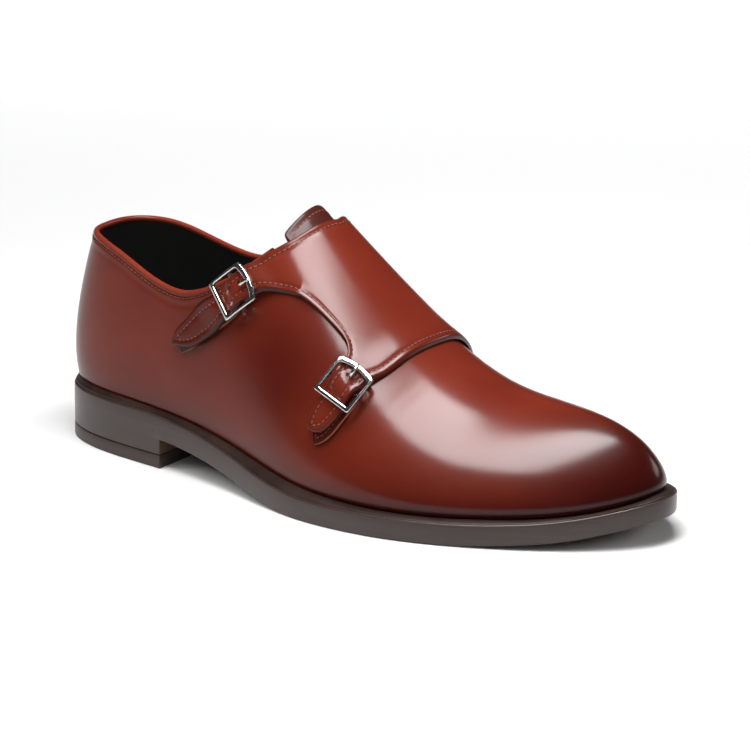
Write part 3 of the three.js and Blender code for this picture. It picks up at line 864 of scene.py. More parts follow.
@dataclass
class CutLeather:
    """A piece of leather cut to an outline in (x, girth) and laid over the last."""

    edges: tuple[Edge, ...]
    thickness: float
    rounding: float = 0.7
    soften: float = 0.7
    pitch: float = 1.0
    fine: float = 0.6
    fine_within: float = 4.2
    groove: float = 0.0
    groove_at: float = 2.3
    edge_dark: float = 1.0
    draft: float = 0.25
    edge_rings: tuple[float, ...] = (0.12, 0.2, 0.3, 0.4)

    def __post_init__(self) -> None:
        """Draws the outline once, even in its steps and with its corners a little rounded."""
        corners = []
        for edge in self.edges:
            points = np.array(edge, float)
            if len(points) > 2:
                way = np.concatenate([[0], np.cumsum(np.hypot(*np.diff(points, axis=0).T))])
                spots = np.arange(0, way[-1], self.draft)
                points = np.stack([spline_through(way, points[:, k])(spots) for k in range(2)], -1)
            else:
                count = max(int(np.hypot(*(points[1] - points[0])) / self.draft), 1)
                points = points[0] + np.arange(count)[:, None] / count * (points[1] - points[0])
            corners.append(points)
        loop = self._even(np.concatenate(corners), self.draft)
        reach = int(self.soften * 4 / self.draft)
        kernel = np.exp(-0.5 * (np.arange(-reach, reach + 1) * self.draft / self.soften) ** 2)
        padded = np.concatenate([loop[-reach:], loop, loop[:reach]])
        loop = np.stack([np.convolve(padded[:, k], kernel / kernel.sum(), "valid") for k in range(2)], -1)
        loop = self._even(loop, self.pitch)
        following = np.roll(loop, -1, 0)
        area = np.sum(loop[:, 0] * following[:, 1] - following[:, 0] * loop[:, 1]) / 2
        self.loop = loop if area > 0 else loop[::-1].copy()

    @staticmethod
    def _even(loop: np.ndarray, pitch: float) -> np.ndarray:
        """Spaces a closed loop's points evenly.

        Args:
            loop: The points.
            pitch: The step wanted.

        Returns:
            The new points.
        """
        ring = np.concatenate([loop, loop[:1]])
        way = np.concatenate([[0], np.cumsum(np.hypot(*np.diff(ring, axis=0).T))])
        spots = np.linspace(0, way[-1], max(int(round(way[-1] / pitch)), 8), endpoint=False)
        return np.stack([np.interp(spots, way, ring[:, k]) for k in range(2)], -1)

    def depth(self, points: np.ndarray) -> np.ndarray:
        """Distance of places from the outline.

        Args:
            points: Places in x and girth.

        Returns:
            How far each lies from the outline.
        """
        a, b = self.loop, np.roll(self.loop, -1, 0)
        way = b - a
        size = (way**2).sum(1)
        best = np.full(len(points), 1e9)
        for start in range(0, len(points), 2000):
            p = points[start : start + 2000, None, :2] - a[None]
            share = np.clip((p * way).sum(-1) / size, 0, 1)
            best[start : start + 2000] = np.sqrt(((p - share[..., None] * way) ** 2).sum(-1)).min(1)
        return best

    def offset(self, inset: float) -> np.ndarray:
        """A line inside the outline.

        Args:
            inset: How far inside it runs.

        Returns:
            Its places, without those where it would cross itself.
        """
        ahead = np.roll(self.loop, -1, 0) - np.roll(self.loop, 1, 0)
        ahead /= np.hypot(*ahead.T)[:, None]
        line = self.loop + inset * np.stack([-ahead[:, 1], ahead[:, 0]], -1)
        return line[self.depth(line) > inset * 0.96]

    def _sliced(self, bm: BMesh, faces: list[bmesh.types.BMFace], pitch: float) -> list[bmesh.types.BMFace]:
        """Cuts faces into squares.

        Args:
            bm: The mesh.
            faces: The faces to cut, flat in x and girth.
            pitch: Side of the squares.

        Returns:
            The faces that they became.
        """
        pieces = list(dict.fromkeys(part for face in faces for part in (face, *face.edges, *face.verts)))
        low, high = self.loop.min(0), self.loop.max(0)
        for axis in range(2):
            normal = Vector((1 - axis, axis, 0))
            for place in np.arange(low[axis] + pitch / 2, high[axis], pitch):
                pieces = bmesh.ops.bisect_plane(bm, geom=pieces, dist=0.02, plane_co=normal * place,
                                                plane_no=normal)["geom"]
        return only(pieces, bmesh.types.BMFace)

    def flat(self) -> BMesh:
        """Fills the outline with even squares, smaller near its edge, and with close rings along it.

        Returns:
            The flat mesh, in x and girth.
        """
        bm = bmesh.new()
        bmesh.ops.create_circle(bm, cap_ends=True, radius=1.0, segments=len(self.loop))
        move(bm, np.column_stack([self.loop, np.zeros(len(self.loop))]))
        bm.normal_update()
        middle = bm.faces[:]
        for ring in self.edge_rings:
            if ring * 2 > self.thickness:
                break
            bmesh.ops.inset_region(bm, faces=middle, thickness=ring, use_even_offset=False,
                                   use_boundary=True)
        squares = self._sliced(bm, middle, self.fine * 3)
        depth = self.depth(np.array([face.calc_center_median() for face in squares]))
        outer = [face for face, inside in zip(squares, depth) if inside < self.fine_within]
        self._sliced(bm, outer, self.fine)
        return bm

    def laid(self, lift: Place, burnish_and_shade: Place | None = None) -> BMesh:
        """The leather as a closed solid over the last.

        Args:
            lift: Height of its underside over the upper, at x and girth.
            burnish_and_shade: How dark it is, at x and girth.

        Returns:
            The mesh, in metres of the shared frame.
        """
        bm = self.flat()
        raised = bmesh.ops.extrude_face_region(bm, geom=bm.faces[:])["geom"]
        top = set(only(raised, bmesh.types.BMVert))
        is_top = np.array([v in top for v in bm.verts])
        flat = positions(bm)
        depth = self.depth(flat)
        reach = min(self.rounding, self.thickness * 0.95)
        fall = reach - np.sqrt(np.maximum(reach**2 - np.maximum(reach - depth, 0) ** 2, 0))
        height = self.thickness - fall - self.groove * hill(depth, self.groove_at, 0.75)
        height = np.where(is_top, height, 0.0)
        x, girth = flat[:, 0], flat[:, 1]
        move(bm, LAST.to_frame(DRAPE.point(x, girth, lift(x, girth) + height)))
        dark = self.edge_dark * (0.5 * np.exp(-depth / 0.6) + 0.15 * np.exp(-depth / 5.0))
        if burnish_and_shade is not None:
            dark = np.clip(dark + burnish_and_shade(x, girth), 0, 1)
        number_layer(bm, "burnish_and_shade", dark)
        number_layer(bm, "from_edge", depth)
        return bm


@dataclass
class StitchRow:
    """A row of stitches over the last, with the needle holes between them. Millimetres."""

    name: str
    pitch: float = 2.4
    length: float = 1.75
    radius: float = 0.30
    hole: float = 0.34

    def sew(self, lines: Sequence[np.ndarray], height: Place, closed: bool = False,
            slot: str = "upper_leather") -> None:
        """Sews along lines.

        Args:
            lines: Lines of (x, girth) places.
            height: Height of the thread over the upper, at x and girth.
            closed: Whether each line runs round to its start.
            slot: A slot name, kept on the thread's piece; nothing reads it there.
        """
        points = [DRAPE.point(line[:, 0], line[:, 1], height(line[:, 0], line[:, 1])) for line in lines]
        self.sew_points(points, closed, slot)

    def sew_points(self, lines: Sequence[np.ndarray], closed: bool, slot: str) -> None:
        """Sews along lines that need no laying.

        Args:
            lines: Lines of millimetre points.
            closed: Whether each line runs round to its start.
            slot: A slot name, kept on the thread's piece; nothing reads it there.
        """
        threads, holes = bmesh.new(), bmesh.new()
        for line in lines:
            line = np.concatenate([line, line[:1]]) if closed else line
            way = np.concatenate([[0], np.cumsum(np.linalg.norm(np.diff(line, axis=0), axis=1))])
            count = max(int(way[-1] / self.pitch), 1)
            spots = (np.arange(count) + 0.5) * way[-1] / count
            at = [np.stack([np.interp(spots + shift, way, line[:, k]) for k in range(3)], -1)
                  for shift in (-self.length / 2, self.length / 2, self.pitch / 2)]
            for start, end, hole in zip(*(LAST.to_frame(points) for points in at)):
                self._thread(threads, Vector(start), Vector(end))
                # Each needle hole is a small dark ball: painted shade in the hole.
                if self.hole:
                    place = Matrix.Translation(Vector(hole)) @ Matrix.Scale(self.hole * MM, 4)
                    bmesh.ops.create_icosphere(holes, subdivisions=1, radius=1.0, matrix=place)
        Piece(self.name, Finish.THREAD, slot).add(threads)
        if self.hole:
            Piece(self.name + "_holes", Finish.HOLE_SHADE, slot).add(holes)
        else:
            holes.free()

    def _thread(self, bm: BMesh, start: Vector, end: Vector) -> None:
        """Adds one stitch, a small rounded rod.

        Args:
            bm: The mesh that it joins.
            start: Where it comes up, in metres.
            end: Where it goes down, in metres.
        """
        way, radius = end - start, self.radius * MM
        turn = way.to_track_quat("X", "Z").to_matrix().to_4x4()
        size = Matrix.Diagonal((way.length / 2 + radius * 0.3, radius, radius, 1))
        place = Matrix.Translation((start + end) / 2) @ turn @ size
        bmesh.ops.create_uvsphere(bm, u_segments=8, v_segments=5, radius=1.0, matrix=place)


# ------------------------------------------------------------------ sole and heel
RingRow = tuple[float, float, Place]


@dataclass
class Sole:
    """Outsole, welt, heel stack and top lift. Millimetres.

    Each solid is a list of rows that run round the shoe. A row has its inset from the sole's edge, its share
    of the way to the spine, and its height by x and ring position.
    """

    profile_x: tuple[float, ...] = (
        0, 40, 68, 85, 100, 115, 130, 145, 160, 190, 222, 240, 255, 270, 285, 303)
    underside: tuple[float, ...] = (
        14.6, 14.4, 13.2, 11.6, 9.4, 6.3, 3.1, 0.9, -0.2, -0.3, -0.2, 0.8, 2.0, 3.8, 7.0, 11.6)
    edge_top: tuple[float, ...] = (
        24.6, 24.6, 24.1, 22.3, 19.8, 16.7, 13.4, 10.9, 9.8, 9.6, 9.6, 10.2, 11.3, 13.0, 16.0, 20.4)
    breast_x: float = 68.5
    breast_bevel: float = 0.35
    lift_thick: float = 6.0
    sock_inset: float = 6.6
    columns: int = 400
    sock_columns: int = 200
    heel_columns: int = 800
    gap: float = 0.3
    facing_down: float = -0.8
    facing_ahead: float = 0.8

    def __post_init__(self) -> None:
        """Draws the two lines of the sole's side view."""
        self.bottom = spline_through(self.profile_x, self.underside)
        self.top = spline_through(self.profile_x, self.edge_top)

    @staticmethod
    def _rings(rows: Sequence[RingRow], columns: int) -> BMesh:
        """A closed solid whose rows run round the shoe.

        Args:
            rows: Its rows, from the middle of its underside out and over to the middle of its top.
            columns: Steps round the shoe.

        Returns:
            The mesh.
        """
        insets = np.array([row[0] for row in rows])
        shares = np.array([row[1] for row in rows])

        def place(a: np.ndarray, b: np.ndarray) -> np.ndarray:
            """Points round the shoe and across the rows.

            Args:
                a: Shares of the way round.
                b: Shares of the way across.

            Returns:
                The points.
            """
            u = a * 2 * LAST.toe
            row = np.round(b * (len(rows) - 1)).astype(int)
            x, y = LAST.edge(u, insets[row])
            share = shares[row]
            x = x + (LAST.at("spine_x", u) - x) * share
            y = y + (LAST.at("spine_y", u) - y) * share
            z = np.zeros_like(x)
            for k, (_, _, height) in enumerate(rows):
                z = np.where(row == k, height(x, u), z)
            return np.stack([x, y, z], -1)

        return wrapped_grid(columns, len(rows) - 1, place)

    def _ground(self, x: np.ndarray, u: np.ndarray) -> np.ndarray:
        """Height of the sole's underside."""
        return np.maximum(self.bottom(x), 0.0)

    def _rim(self, x: np.ndarray, u: np.ndarray) -> np.ndarray:
        """Height of the top of the sole's edge."""
        return self.top(x)

    def _halfway(self, x: np.ndarray, u: np.ndarray) -> np.ndarray:
        """Height half way up the sole's edge."""
        return (self._ground(x, u) + self.top(x)) / 2

    @staticmethod
    def _seat(x: np.ndarray, u: np.ndarray) -> np.ndarray:
        """Height of the feather line."""
        return LAST.at("seat", u)

    def _bevelled(self, rise: float) -> Place:
        """The underside raised for its edge's bevel, but not over the heel."""
        return lambda x, u: self._ground(x, u) + rise * smooth(60, 75, x)

    def outsole(self) -> None:
        """The long sole, its edge trimmed square with a small bevel, shown up to the welt's top."""
        tread, inner = self._bevelled(0), above(self._rim, -0.6)
        rows = [(0, 1, tread), (0, 0.8, tread), (0, 0.5, tread), (0, 0.2, tread), (2.0, 0, tread),
                (0.9, 0, tread), (0.4, 0, self._bevelled(0.15)), (0.1, 0, self._bevelled(0.5)),
                (0, 0, self._bevelled(1.0)), (-0.05, 0, self._halfway), (0, 0, above(self._rim, -0.75)),
                (0.12, 0, above(self._rim, -0.3)), (0.4, 0, above(self._rim, -0.06)), (0.8, 0, self._rim),
                (1.6, 0, above(self._rim, -0.15)), (6.0, 0, inner), (6.0, 0.5, inner), (6.0, 1, inner)]
        piece = Piece("outsole_leather", Finish.SOLE_EDGE, "sole_leather", ("outsole",), (Finish.TREAD,))
        obj = piece.add(self._rings(rows, self.columns))
        for face in obj.data.polygons:
            if face.normal.z < self.facing_down:
                face.material_index = 1

    def welt(self) -> None:
        """The dark ledge between the sole's edge and the upper."""
        corners = 9

        def place(a: np.ndarray, b: np.ndarray) -> np.ndarray:
            """The welt's section, corner by corner, run round the shoe.

            Args:
                a: Shares of the way round.
                b: Shares of the way round the section.

            Returns:
                The points.
            """
            u = a * 2 * LAST.toe
            k = np.round(b * corners).astype(int) % corners
            margin, top, high = LAST.at("margin", u), self.top(LAST.edge(u)[0]), LAST.at("seat", u)
            section = (
                (0.75 + 0 * u, top - 1.2),
                (0.75 + 0 * u, top - 0.05),
                (0.95 + 0 * u, top + 0.22),
                (0.35 * margin, top + 0.25 * (high - top) + 0.2),
                (0.62 * margin, top + 0.5 * (high - top)),
                (margin - 0.3, high - 0.75),
                (margin + 1.6, high - 0.3),
                (margin + 1.6, top - 1.0),
                (margin + 1.0, top - 1.2),
            )
            inset, height = (np.choose(k, [corner[n] for corner in section]) for n in range(2))
            return np.stack([*LAST.edge(u, inset), height], -1)

        Piece("welt_strip", Finish.WELT, "welt_leather", ("welt",)).add(
            wrapped_grid(self.columns, corners, place))

    def _cut_at_breast(self, bm: BMesh) -> None:
        """Cuts a ring solid off straight at the heel's breast, and bevels the new face.

        Args:
            bm: The solid's mesh.
        """
        plane = Vector(LAST.to_frame(np.array([self.breast_x, 0.0, 0.0])))
        everything = bm.verts[:] + bm.edges[:] + bm.faces[:]
        cut = bmesh.ops.bisect_plane(bm, geom=everything, plane_co=plane, plane_no=(1, 0, 0),
                                     clear_outer=True)["geom_cut"]
        front = bmesh.ops.edgenet_fill(bm, edges=only(cut, bmesh.types.BMEdge))["faces"]
        border = list(dict.fromkeys(edge for face in front for edge in face.edges))
        bmesh.ops.bevel(bm, geom=border, offset=self.breast_bevel * MM, offset_type="OFFSET", segments=2,
                        profile=0.5, affect="EDGES", material=-1, clamp_overlap=True)

    def heel_layers(self) -> None:
        """The heel's layers of leather, between the top lift and the sole."""
        foot, tucked = even(self.lift_thick + self.gap), above(self._ground, 1.5)
        rows = [(0, 1, foot), (0, 0.5, foot), (1.2, 0, foot), (0.35, 0, foot), (0.06, 0, above(foot, 0.3)),
                (0.06, 0, even(self.lift_thick + 1.2)), (0.06, 0, above(self._ground, -0.4)),
                (0.06, 0, tucked), (0.06, 0.5, tucked), (0.06, 1, tucked)]
        bm = self._rings(rows, self.heel_columns)
        self._cut_at_breast(bm)
        piece = Piece("heel_layers", Finish.SOLE_EDGE, "heel_leather", ("heel_stack",), (Finish.TREAD,))
        for face in piece.add(bm).data.polygons:
            if face.normal.x > self.facing_ahead:
                face.material_index = 1

    def heel_lift(self) -> None:
        """The top lift that the heel stands on."""
        base, top, level = even(0), even(self.lift_thick), self.lift_thick
        rows = [(0, 1, base), (0, 0.5, base), (1.4, 0, base), (0.5, 0, base), (0.12, 0, even(0.2)),
                (0, 0, even(0.7)), (0, 0, even(level * 0.5)), (0, 0, even(level - 0.4)), (0.2, 0, top),
                (1.2, 0, top), (0, 0.5, top), (0, 1, top)]
        bm = self._rings(rows, self.heel_columns)
        self._cut_at_breast(bm)
        Piece("heel_lift", Finish.LIFT, "lift_rubber", ("top_lift",), (Finish.TREAD,)).add(bm)

    def sock(self) -> None:
        """The sock that lines the inside of the sole, hollowed a little for the foot."""
        low, side = above(self._rim, -3.2), self.sock_inset
        rows = [(0, 1, low), (side, 0, low), (side, 0, above(self._seat, 1.8)),
                (side + 0.5, 0, above(self._seat, 2.4)), (side + 1.5, 0, above(self._seat, 2.5)),
                (side + 6, 0, above(self._seat, 2.2)), (side + 6, 0.4, above(self._seat, 1.8)),
                (side + 6, 0.7, above(self._seat, 1.7)), (side + 6, 1, above(self._seat, 1.7))]
        sock = self._rings(rows, self.sock_columns)
        Piece("sock", Finish.SOCK, "insole_leather", ("insole",)).add(sock)

    def build(self) -> None:
        """Builds the whole bottom of the shoe."""
        self.outsole()
        self.welt()
        self.heel_layers()
        self.heel_lift()
        self.sock()


# ------------------------------------------------------------------ upper
def painted_shade_by_straps(x: np.ndarray, z: np.ndarray) -> np.ndarray:
    """Painted shade on the quarters round the straps, at a place along the shoe and a height."""
    return 0.48 * hill(x, 141, 30) * hill(z, 58, 28)


@dataclass(frozen=True)
class Crease:
    """A soft slanting trough in the outer leather, above the ball. Millimetres."""

    x: float
    height: float
    lean: float
    depth: float


@dataclass
class Upper:
    """The upper's outer leather, its lining and the rolled binding round the topline. Millimetres."""

    columns: int = 300
    rows: int = 46
    outer: float = 1.25
    lining: float = 0.7
    binding_height: float = 3.4
    binding_thick: float = 2.6
    binding_end: float = 4.1
    lining_gap: float = 0.06
    creases: tuple[Crease, ...] = (Crease(186, 39, 0.45, 0.22), Crease(192, 37, 0.4, 0.26),
                                   Crease(199, 34, 0.38, 0.16))

    def _relief(self, points: np.ndarray, below_top: np.ndarray) -> np.ndarray:
        """Small rises and creases of the outer leather.

        Args:
            points: Its points.
            below_top: How far each lies below the topline.

        Returns:
            How far each is lifted.
        """
        x, y, z = points[:, 0], points[:, 1], points[:, 2]
        seam = 0.22 * hill(below_top, 5.0, 0.9) - 0.16 * hill(below_top, 6.8, 1.1)
        seam = np.where(below_top < 30, seam, 0) * smooth(124, 104, x)
        for crease in self.creases:
            run = hill(y, -33, 16) * hill(z, crease.height, 16)
            seam = seam - crease.depth * hill(x - crease.lean * (z - crease.height), crease.x, 2.1) * run
        return seam

    def _shell(self, lift: float, rows: int, drop: float, relief: bool, foot: float) -> BMesh:
        """A sheet over the whole last from the feather line up.

        Args:
            lift: Its distance outside the last's surface.
            rows: Quads up the wall.
            drop: How far below the topline it ends.
            relief: Whether it has the outer leather's relief and burnish.
            foot: How far its foot reaches below the feather line.

        Returns:
            The mesh.
        """
        toe = LAST.toe

        def place(a: np.ndarray, b: np.ndarray) -> np.ndarray:
            """Points of the sheet.

            Args:
                a: Shares of the way round the shoe.
                b: Shares of the way up the wall.

            Returns:
                The points.
            """
            u = a * 2 * toe
            t = b * LAST.top_of(u, drop)
            first = LAST.point(u, t, lift)
            points = first
            if relief:
                line = np.where(u < toe, LAST.lateral_top(first[:, 0]), LAST.medial_top(first[:, 0]))
                points = LAST.point(u, t, lift + self._relief(first, line - first[:, 2]))
            points[:, 2] -= smooth(0.035, 0, b) * foot
            return points

        def burnish_and_shade(a: np.ndarray, b: np.ndarray) -> np.ndarray:
            """Darker towards the toe, the welt, the topline and the back, and with painted shade round the
            straps.

            Args:
                a: Shares of the way round the shoe.
                b: Shares of the way up the wall.

            Returns:
                The burnish.
            """
            u = a * 2 * toe
            p = LAST.point(u, b * LAST.top_of(u, drop))
            x, z = p[:, 0], p[:, 2]
            line = np.where(u < toe, LAST.lateral_top(x), LAST.medial_top(x))
            up = z - LAST.at("seat", u)
            tip = 0.85 * smooth(236, 300, x)
            low = 0.5 * np.exp(-up / 5.0) + 0.5 * smooth(48, 6, up) * smooth(130, 220, x)
            high = 0.3 * np.exp(-np.maximum(line - z, 0) / 10.0) * smooth(130, 100, x)
            heel = 0.35 * smooth(26, 0, x)
            # The straps term is painted shade; the other terms only darken towards the toe, welt, topline and
            # back.
            bare = (1 - tip) * (1 - low) * (1 - high) * (1 - painted_shade_by_straps(x, z)) * (1 - heel)
            return np.clip(1 - bare, 0, 1)

        return wrapped_grid(self.columns, rows, place, burnish_and_shade if relief else None)

    def shell(self) -> None:
        """The outer leather and the lining inside it."""
        bm = self._shell(0.0, self.rows, self.binding_height + 0.4, True, 0.5)
        face_out(bm, from_inside)
        Piece("upper_leather", Finish.UPPER, "upper_leather", ("upper",)).add(bm, self.outer)
        bm = self._shell(-self.outer - self.lining_gap, 30, 1.3, False, 0.0)
        face_out(bm, from_inside)
        Piece("quarter_lining", Finish.LINING, "insole_leather").add(bm, self.lining)

    def binding(self) -> None:
        """The rolled binding: a narrow strip turned over the topline, plump above its seam."""
        steps, sides = 260, 20
        angle = 2 * math.pi * np.arange(sides) / sides
        across, upwards = np.cos(angle), np.sin(angle)
        outs = across * self.binding_thick / 2 * (1.0 + 0.10 * np.maximum(upwards, 0))
        ups = upwards * self.binding_height / 2 * np.where(upwards > 0, 1.0, 1.06)

        def place(a: np.ndarray, b: np.ndarray) -> np.ndarray:
            """The binding's section, run along the topline.

            Args:
                a: Shares of the way along.
                b: Shares of the way round the section.

            Returns:
                The points.
            """
            u = (2 * a - 1) * self.binding_end
            k = np.round(b * sides).astype(int) % sides
            t = LAST.top_of(u, self.binding_height / 2)
            centre = LAST.point(u, t, -1.0)
            out = LAST.point(u, t, 0.0) - centre
            out /= np.linalg.norm(out, axis=1)[:, None]
            up = LAST.point(u, t + 0.01, -1.0) - centre
            up -= out * (up * out).sum(1)[:, None]
            up /= np.linalg.norm(up, axis=1)[:, None]
            return centre + out * outs[k][:, None] + up * ups[k][:, None]

        def burnish_and_shade(a: np.ndarray, b: np.ndarray) -> np.ndarray:
            """Painted shade down in the seam under the roll on the outer side, and a little on the inner
            side.
            """
            return 0.55 * hill(b, 0.82, 0.1) + 0.25 * hill(b, 0.5, 0.12)

        bm = wrapped_grid(steps, sides, place, burnish_and_shade)
        ends = [e for e in bm.edges if e.is_boundary]
        bmesh.ops.holes_fill(bm, edges=ends, sides=0)
        Piece("topline_binding", Finish.BINDING, "binding_leather", ("collar_binding",)).add(bm)

    def binding_stitches(self) -> None:
        """The stitch row just under the binding."""
        u = np.linspace(-3.75, 3.75, 900)
        line = LAST.point(u, LAST.top_of(u, self.binding_height + 0.55), 0.25)
        StitchRow("binding_stitches", 2.3, 1.7, 0.22, 0.0).sew_points([line], False, "binding_leather")

    def build(self) -> None:
        """Builds the upper."""
        self.shell()
        self.binding()
        self.binding_stitches()


# ------------------------------------------------------------------ straps, tabs and tongue
@dataclass(frozen=True)
class BucklePlace:
    """Where a buckle sits, in x and girth, and the place that its arched end looks towards."""

    name: str
    x: float
    girth: float
    towards: tuple[float, float]

    def way(self) -> np.ndarray:
        """Step of one millimetre in x and girth from the buckle's middle towards its arched end."""
        step = np.array(self.towards) - (self.x, self.girth)
        return step / np.hypot(*step)

    def along(self, x: np.ndarray, girth: np.ndarray) -> np.ndarray:
        """Distance from the buckle's middle along its strap, towards the instep."""
        way = self.way()
        return (x - self.x) * way[0] + (girth - self.girth) * way[1]

    def matrix(self) -> Matrix:
        """Lays a piece on the last.

        Returns:
            The matrix for a piece drawn flat in metres, arched end towards +X and up +Z.
        """
        step = 5.0
        ring = np.array([[self.x, self.girth], [self.x + step, self.girth], [self.x - step, self.girth],
                         [self.x, self.girth - step], [self.x, self.girth + step], self.towards])
        p = DRAPE.point(ring[:, 0], ring[:, 1])
        out = Vector(np.cross(p[3] - p[4], p[1] - p[2])).normalized()
        along = Vector(p[5] - p[0])
        along = (along - along.dot(out) * out).normalized()
        side = out.cross(along)
        turn = Matrix((along, side, out)).transposed().to_4x4()
        return Matrix.Translation(Vector(LAST.to_frame(p[0]))) @ turn


UPPER_PLACE = BucklePlace("upper", 110.3, -65.2, (117.8, -53.2))
LOWER_PLACE = BucklePlace("lower", 171.2, -56.2, (174.0, -46.2))


@dataclass(frozen=True)
class ArmLift:
    """Where along the girth an arm rises to its buckle and comes down again behind it."""

    place: BucklePlace
    root: float
    crest: float
    after: float
    tail: float
    tail_lift: float
    hump: float


UPPER_ARM = ArmLift(UPPER_PLACE, 44, 56, 80, 95, 1.9, 0.8)
LOWER_ARM = ArmLift(LOWER_PLACE, 37, 47, 66, 76, 2.6, 1.7)


@dataclass
class Straps:
    """The strap panel over the instep with its two arms, the tabs that carry the buckles, and the tongue."""

    panel_thick: float = 1.9
    tab_thick: float = 1.2
    tab_lift: float = 0.25
    cut_edge: float = 0.15
    tongue_thick: float = 1.8
    tongue_lift: float = -5.2
    base_lift: float = 0.6
    buckle_lift: float = 3.1
    sewing_inset: float = 2.2
    groove: float = 0.28
    panel_edges: tuple[Edge, ...] = (
        ((136, 0), (134.5, -9), (130.5, -23), (121, -40), (113.5, -53)),
        ((113.5, -53), (106.5, -66), (99.5, -78), (90, -91), (83, -103), (78, -112), (76.5, -118)),
        ((76.5, -118), (84, -113), (90, -107.5), (96, -99.5), (103, -89), (108, -80), (113, -71.5),
         (119.5, -61)),
        ((119.5, -61), (124.5, -54.5), (131.5, -48), (141, -42.3), (150, -40.3), (159, -40), (166, -41.3),
         (169, -45)),
        ((169, -45), (168.4, -50), (166.7, -57), (164, -66), (161.2, -75), (160.8, -83)),
        ((160.8, -83), (166, -80.5), (171, -73.5), (174.4, -65.5), (177.4, -56), (180.9, -46)),
        ((180.9, -46), (184.8, -36), (187.3, -24), (189.5, -10), (190.5, 0), (190, 16), (187.5, 34),
         (181, 56), (172.5, 72), (163.5, 85)),
        ((163.5, 85), (146, 80)),
        ((146, 80), (149, 71)),
        ((149, 71), (150.5, 64), (147, 55), (138, 46), (129, 39.5), (121, 34)),
        ((121, 34), (127.5, 24), (133, 12), (136, 0)),
    )
    corner_row: Edge = ((150.3, 69.8), (165.8, 74.6))
    upper_tab_edges: tuple[Edge, ...] = (
        ((108, -60), (98, -77), (90, -88), (84, -100), (80.5, -111), (81, -118.5)),
        ((81, -118.5), (87, -111), (92.6, -103), (99.5, -92.5), (105.5, -83.5), (111, -74), (116, -64),
         (118, -60)),
        ((118, -60), (108, -60)),
    )
    lower_tab_edges: tuple[Edge, ...] = (
        ((166, -53), (163.4, -64), (162, -74), (161.8, -82), (163.3, -87.6)),
        ((163.3, -87.6), (167.2, -83.4), (170.9, -77.7), (174.4, -69.5), (177.2, -60.4), (178.6, -54)),
        ((178.6, -54), (166, -53)),
    )
    tongue_edges: tuple[Edge, ...] = (
        ((120.9, -26.5), (123.4, -14), (124.4, 0), (123.2, 15), (120.3, 27)),
        ((120.3, 27), (133, 25.5), (150, 18), (172, 12)),
        ((172, 12), (172, -12)),
        ((172, -12), (150, -18), (133, -25), (120.9, -26.5)),
    )
    fold_front: Edge = (
        (117.5, 36.5), (126, 37.2), (134, 40.3), (142, 45.6), (150.5, 54.3), (153.2, 64.5), (150.8, 72.5))
    fold_back: Edge = ((150.8, 72.5), (141, 81), (127, 79), (113, 71), (103, 60.5))
    fold_top: Edge = ((103, 60.5), (108, 53), (112.5, 46), (117.5, 36.5))
    fold_thick: float = 1.3
    fold_sunk: float = -1.36
    fold_rise: float = 3.93
    heel_tab_top: float = 4.2
    heel_tab_tall: float = 17.0
    heel_tab_wide: float = 0.17

    def panel_lift(self, x: np.ndarray, girth: np.ndarray) -> np.ndarray:
        """Height of the panel's underside over the upper.

        Args:
            x: Places along the shoe.
            girth: Their ways over the surface from the ridge.

        Returns:
            The heights.
        """
        front = 0.7 * smooth(14, 0, np.abs(x - (190.5 - 0.0036 * girth**2))) * smooth(62, 30, np.abs(girth))
        total = self.base_lift + front
        for arm in (UPPER_ARM, LOWER_ARM):
            here = (x < 140) if arm is UPPER_ARM else (x >= 140)
            rise = smooth(arm.root, arm.crest, -girth)
            fall = smooth(arm.after, arm.tail, -girth)
            along = arm.place.along(x, girth)
            height = (self.buckle_lift - total) * rise - (self.buckle_lift - arm.tail_lift) * fall
            height = height + arm.hump * np.exp(-((along / 5.0) ** 4)) * rise
            total = np.where(here, total + height, total)
        return total

    def _panel_burnish(self, x: np.ndarray, girth: np.ndarray) -> np.ndarray:
        """Darker on the tails and at the buckles."""
        return 0.35 * smooth(70, 95, -girth) + 0.2 * hill(girth, -52, 8) + 0.25 * smooth(60, 80, girth)

    def panel(self) -> None:
        """The panel, its rows of stitches and the holes for the prongs."""
        leather = CutLeather(self.panel_edges, self.panel_thick, rounding=0.85, groove=self.groove,
                             groove_at=self.sewing_inset)
        bm = leather.laid(self.panel_lift, self._panel_burnish)
        Piece("instep_strap", Finish.UPPER, "upper_leather", ("strap_panel",), sharp_degrees=60).add(bm)
        thread = above(self.panel_lift, self.panel_thick - self.groove + 0.08)
        StitchRow("strap_stitches").sew([leather.offset(self.sewing_inset)], thread, True)
        start, end = np.array(self.corner_row)
        share = np.linspace(0, 1, 30)[:, None]
        flush = above(self.panel_lift, self.panel_thick + 0.02)
        StitchRow("tab_stitches").sew([start * (1 - share) + end * share], flush)

    def tabs(self) -> None:
        """The pointed tabs under the arms, sewn to the quarter, each with a pale cut edge."""

        def curled(x: np.ndarray, girth: np.ndarray) -> np.ndarray:
            """The lower tab curls up at its front edge."""
            front = x - (161.5 + 0.30 * (girth + 84))
            return self.tab_lift + 1.1 * smooth(3, 11, front) * smooth(-57, -70, girth)

